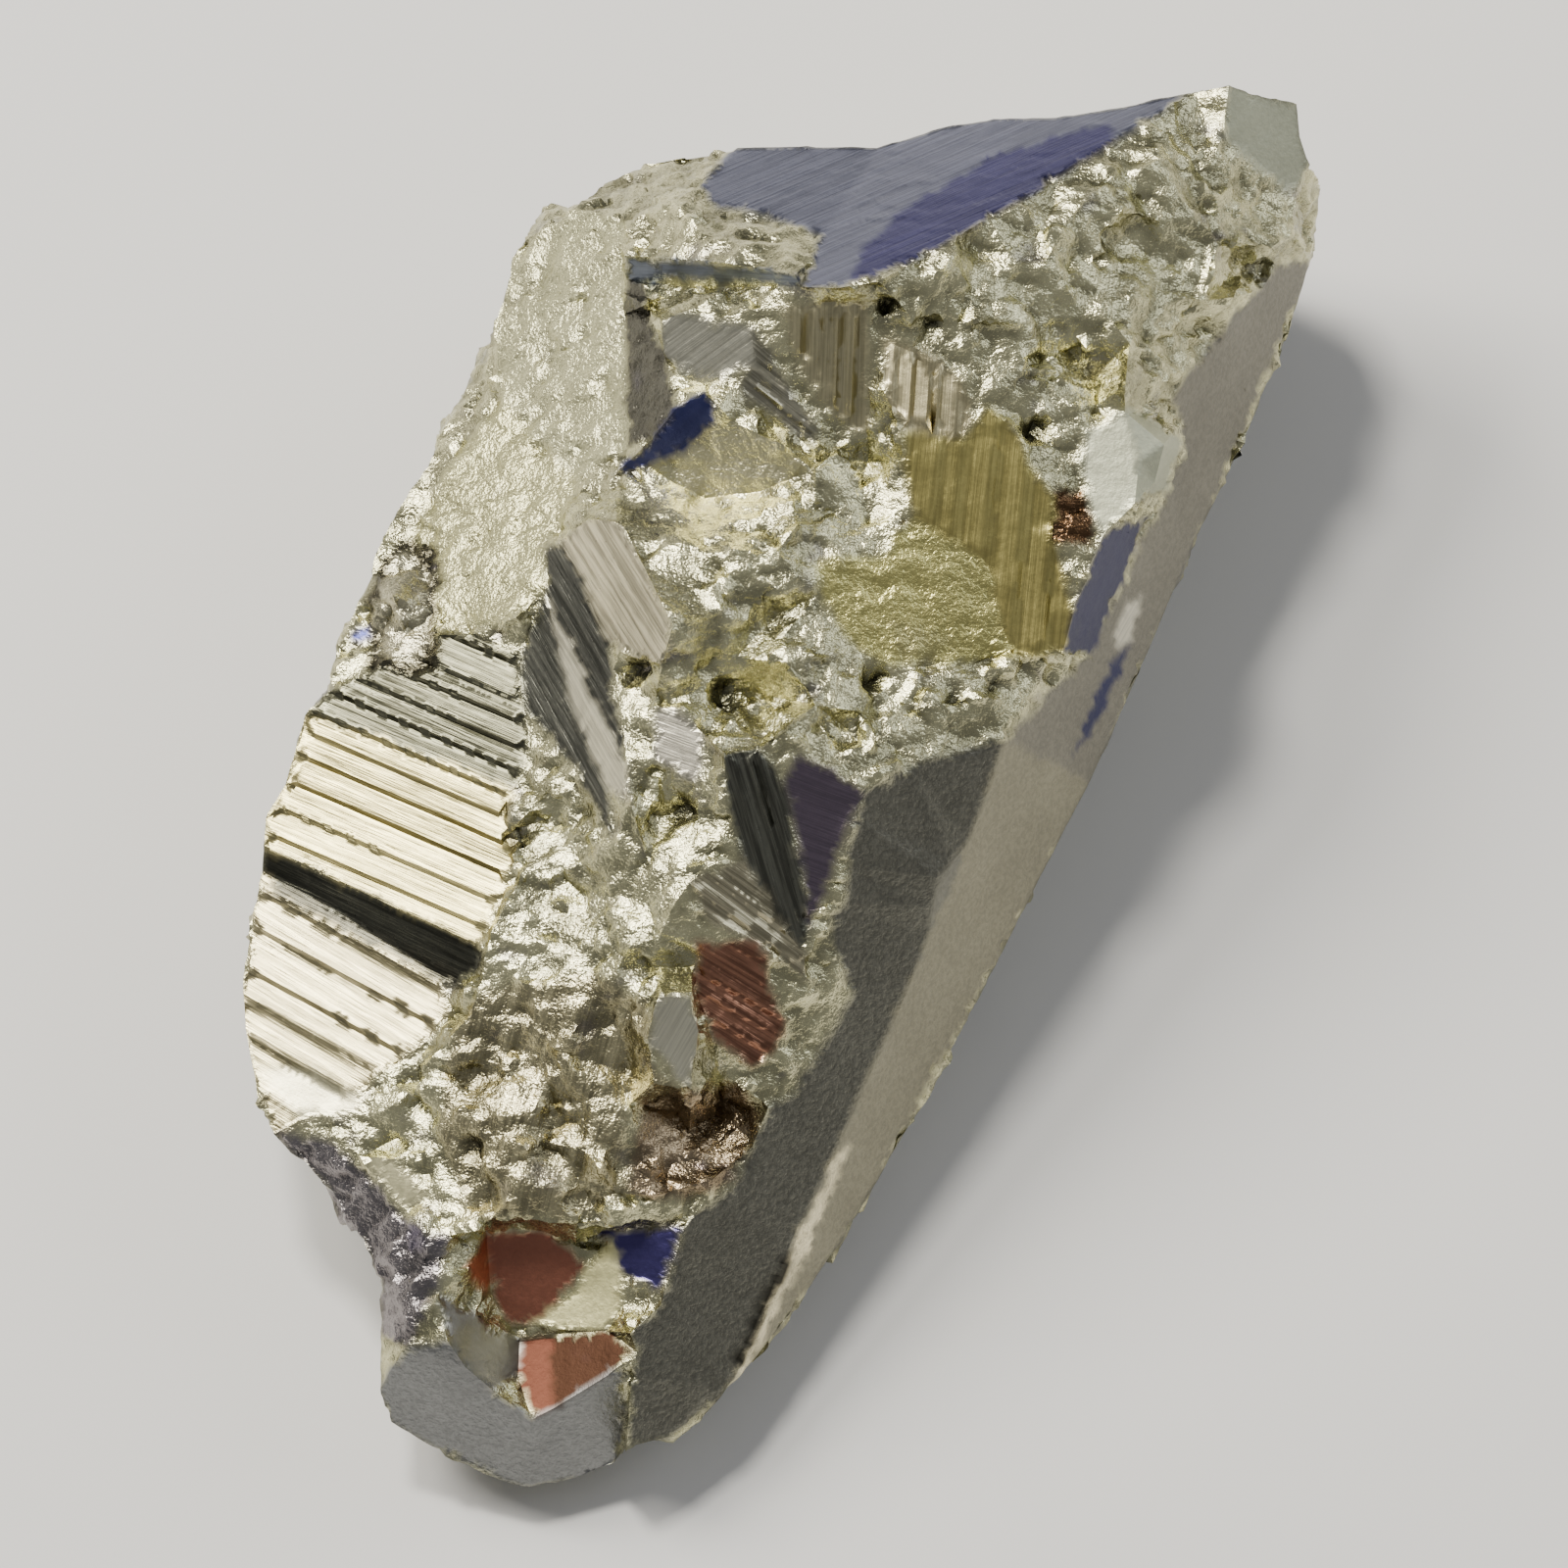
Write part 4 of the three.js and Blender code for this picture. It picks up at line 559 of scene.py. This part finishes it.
# %% Keep the colours and move the points
kept = {
    "tone": ("FLOAT_COLOR", tone),
    "crinkle": ("FLOAT", broken.between(0.0, 0.3)),
    "surface": ("FLOAT_VECTOR", w.add("ShaderNodeCombineXYZ", None, surface)),
}
marked = Wire(relief, inputs.outputs["Geometry"])
for label, (kind, value) in kept.items():
    settings = {"data_type": kind, "domain": "POINT"}
    feeds = {"Geometry": marked, "Name": label, "Value": value}
    marked = w.add("GeometryNodeStoreNamedAttribute", settings, feeds)
rise = broken * flakes + steps + frosting - pitted * size["Pit depth"]
shift = w.add("GeometryNodeInputNormal").scaled(rise * MM)
moved = w.add("GeometryNodeSetPosition", None, {"Geometry": marked, "Offset": shift})
whole = w.add("GeometryNodeRealizeInstances", None, {"Geometry": moved})
pyrite = bpy.data.materials.new("pyrite")
dressed = w.add("GeometryNodeSetMaterial", None, {"Geometry": whole, "Material": pyrite})
relief.links.new(dressed.socket, relief.nodes.new("NodeGroupOutput").inputs["Geometry"])
print("relief tree:", len(relief.nodes), "nodes")

# %% [markdown]
# The tree runs once and leaves a plain mesh. Edges sharper than the flakes' own stay sharp, so that each
# flake glints by itself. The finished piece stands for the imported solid.

# %% Make the specimen
SHARP_ANGLE = math.radians(14)
draft = bpy.data.objects.new("draft", mesh)
bpy.context.scene.collection.objects.link(draft)
modifier = draft.modifiers.new("relief", "NODES")
modifier.node_group = relief
for label, value in RELIEF_SIZES.items():
    modifier[sockets[label].identifier] = value
bpy.context.view_layer.update()
finished = bpy.data.meshes.new_from_object(draft.evaluated_get(bpy.context.evaluated_depsgraph_get()))
draft.modifiers.remove(modifier)
bpy.data.objects.remove(draft)
specimen = bpy.data.objects.new("specimen", finished)
bpy.context.scene.collection.objects.link(specimen)
finished.set_sharp_from_angle(angle=SHARP_ANGLE)
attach(specimen, "root")
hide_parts("pyrite_specimen")
print("specimen:", len(finished.polygons), "triangles,", [slot.name for slot in finished.materials])

# %% [markdown]
# The finish is all metal. Its colour is the one kept at each point, painted shade in crevices and pits
# included, with streaks along the growth lines and fine speckle on the frost. Roughness follows the
# face's polish, and a bump adds the scratches and grains that are too fine for the mesh.

# %% Metal finish
SPECKLES, STREAKS = 2.8, 2.4  # to the millimetre
STREAK_SHAPE = (0.035, 1.0, 1.0)  # long along the growth lines, narrow across them
STREAK_DARKNESS, SPECKLE_DARKNESS = 0.5, 0.22
SPECKLE_ROUGHNESS = 0.14
STREAK_BUMP, FROST_BUMP = 0.45, 0.5
BUMP = {"Strength": 0.55, "Distance": 0.22 * MM}

pyrite.use_nodes = True
tree = pyrite.node_tree
shader = tree.nodes["Principled BSDF"]
m = Wire(tree)


def attribute(label, out="Fac"):
    return m.add("ShaderNodeAttribute", {"attribute_name": label}, None, out)


spot = m.add("ShaderNodeTexCoord", None, None, "Object").scaled(1 / MM)
growth = m.add("ShaderNodeUVMap", {"uv_map": "growth"})
is_lined = m.add("ShaderNodeSeparateXYZ", None, {0: attribute("surface", "Vector")})
is_frosted, polish = is_lined.other(1), is_lined.other(2)
speckle = spot.noise(SPECKLES, 2.0, 0.7)
streaks = m.vector("MULTIPLY", growth, STREAK_SHAPE).noise(STREAKS, 3.0, 0.75, "2D")

shade = 1 - is_lined * STREAK_DARKNESS * (1 - streaks.between(0.38, 0.62))
shade = shade * (1 - is_frosted * SPECKLE_DARKNESS * (1 - speckle.between(0.35, 0.65)))
colour = attribute("tone", "Color").times(shade)
tree.links.new(colour.socket, shader.inputs["Base Color"])

roughness = polish + (speckle - 0.5) * SPECKLE_ROUGHNESS
tree.links.new(roughness.socket, shader.inputs["Roughness"])
shader.inputs["Metallic"].default_value = 1.0

height = is_lined * streaks * STREAK_BUMP + (is_frosted * FROST_BUMP + attribute("crinkle")) * speckle
bump = m.add("ShaderNodeBump", None, {"Height": height, **BUMP}, "Normal")
tree.links.new(bump.socket, shader.inputs["Normal"])
print("pyrite finish:", len(tree.nodes), "nodes")

# %% [markdown]
# Metal shows what surrounds it. A pale floor, one large soft light at the upper left and a smaller,
# harder one near it give bright faces that look that way, glints on the breaks, and dark faces that look
# to the near right.


# %% Floor and lights
def soft_light(name, place, size, power, colour):
    data = bpy.data.lights.new(name, "AREA")
    data.size, data.energy, data.color = size, power, colour
    light = bpy.data.objects.new(name, data)
    light.location = place
    light.rotation_euler = (-Vector(place)).to_track_quat("-Z", "Y").to_euler()
    bpy.context.scene.collection.objects.link(light)


soft_light("key", (-0.55, 0.35, 0.75), 0.45, 12.0, (1.0, 0.96, 0.88))
soft_light("glint", (-0.2, 0.3, 0.9), 0.14, 7.0, (1.0, 0.97, 0.9))
soft_light("fill", (0.8, 0.3, 0.6), 0.6, 2.5, (0.9, 0.94, 1.0))

FLOOR_SIZE, FLOOR_COLOUR, FLOOR_ROUGHNESS = 3.0, (0.72, 0.71, 0.69, 1), 0.8
bpy.ops.mesh.primitive_plane_add(size=FLOOR_SIZE, location=(0, 0, 0))
floor = bpy.context.object
floor.name = "floor"
floor_paint = bpy.data.materials.new("pale floor")
floor_paint.use_nodes = True
floor_shader = floor_paint.node_tree.nodes["Principled BSDF"]
floor_shader.inputs["Base Color"].default_value = FLOOR_COLOUR
floor_shader.inputs["Roughness"].default_value = FLOOR_ROUGHNESS
floor.data.materials.append(floor_paint)

ROOM_COLOUR, ROOM_LIGHT = (0.95, 0.96, 1.0, 1), 0.25
world = bpy.data.worlds.new("studio")
bpy.context.scene.world = world
world.use_nodes = True
room = world.node_tree.nodes["Background"]
room.inputs["Color"].default_value = ROOM_COLOUR
room.inputs["Strength"].default_value = ROOM_LIGHT
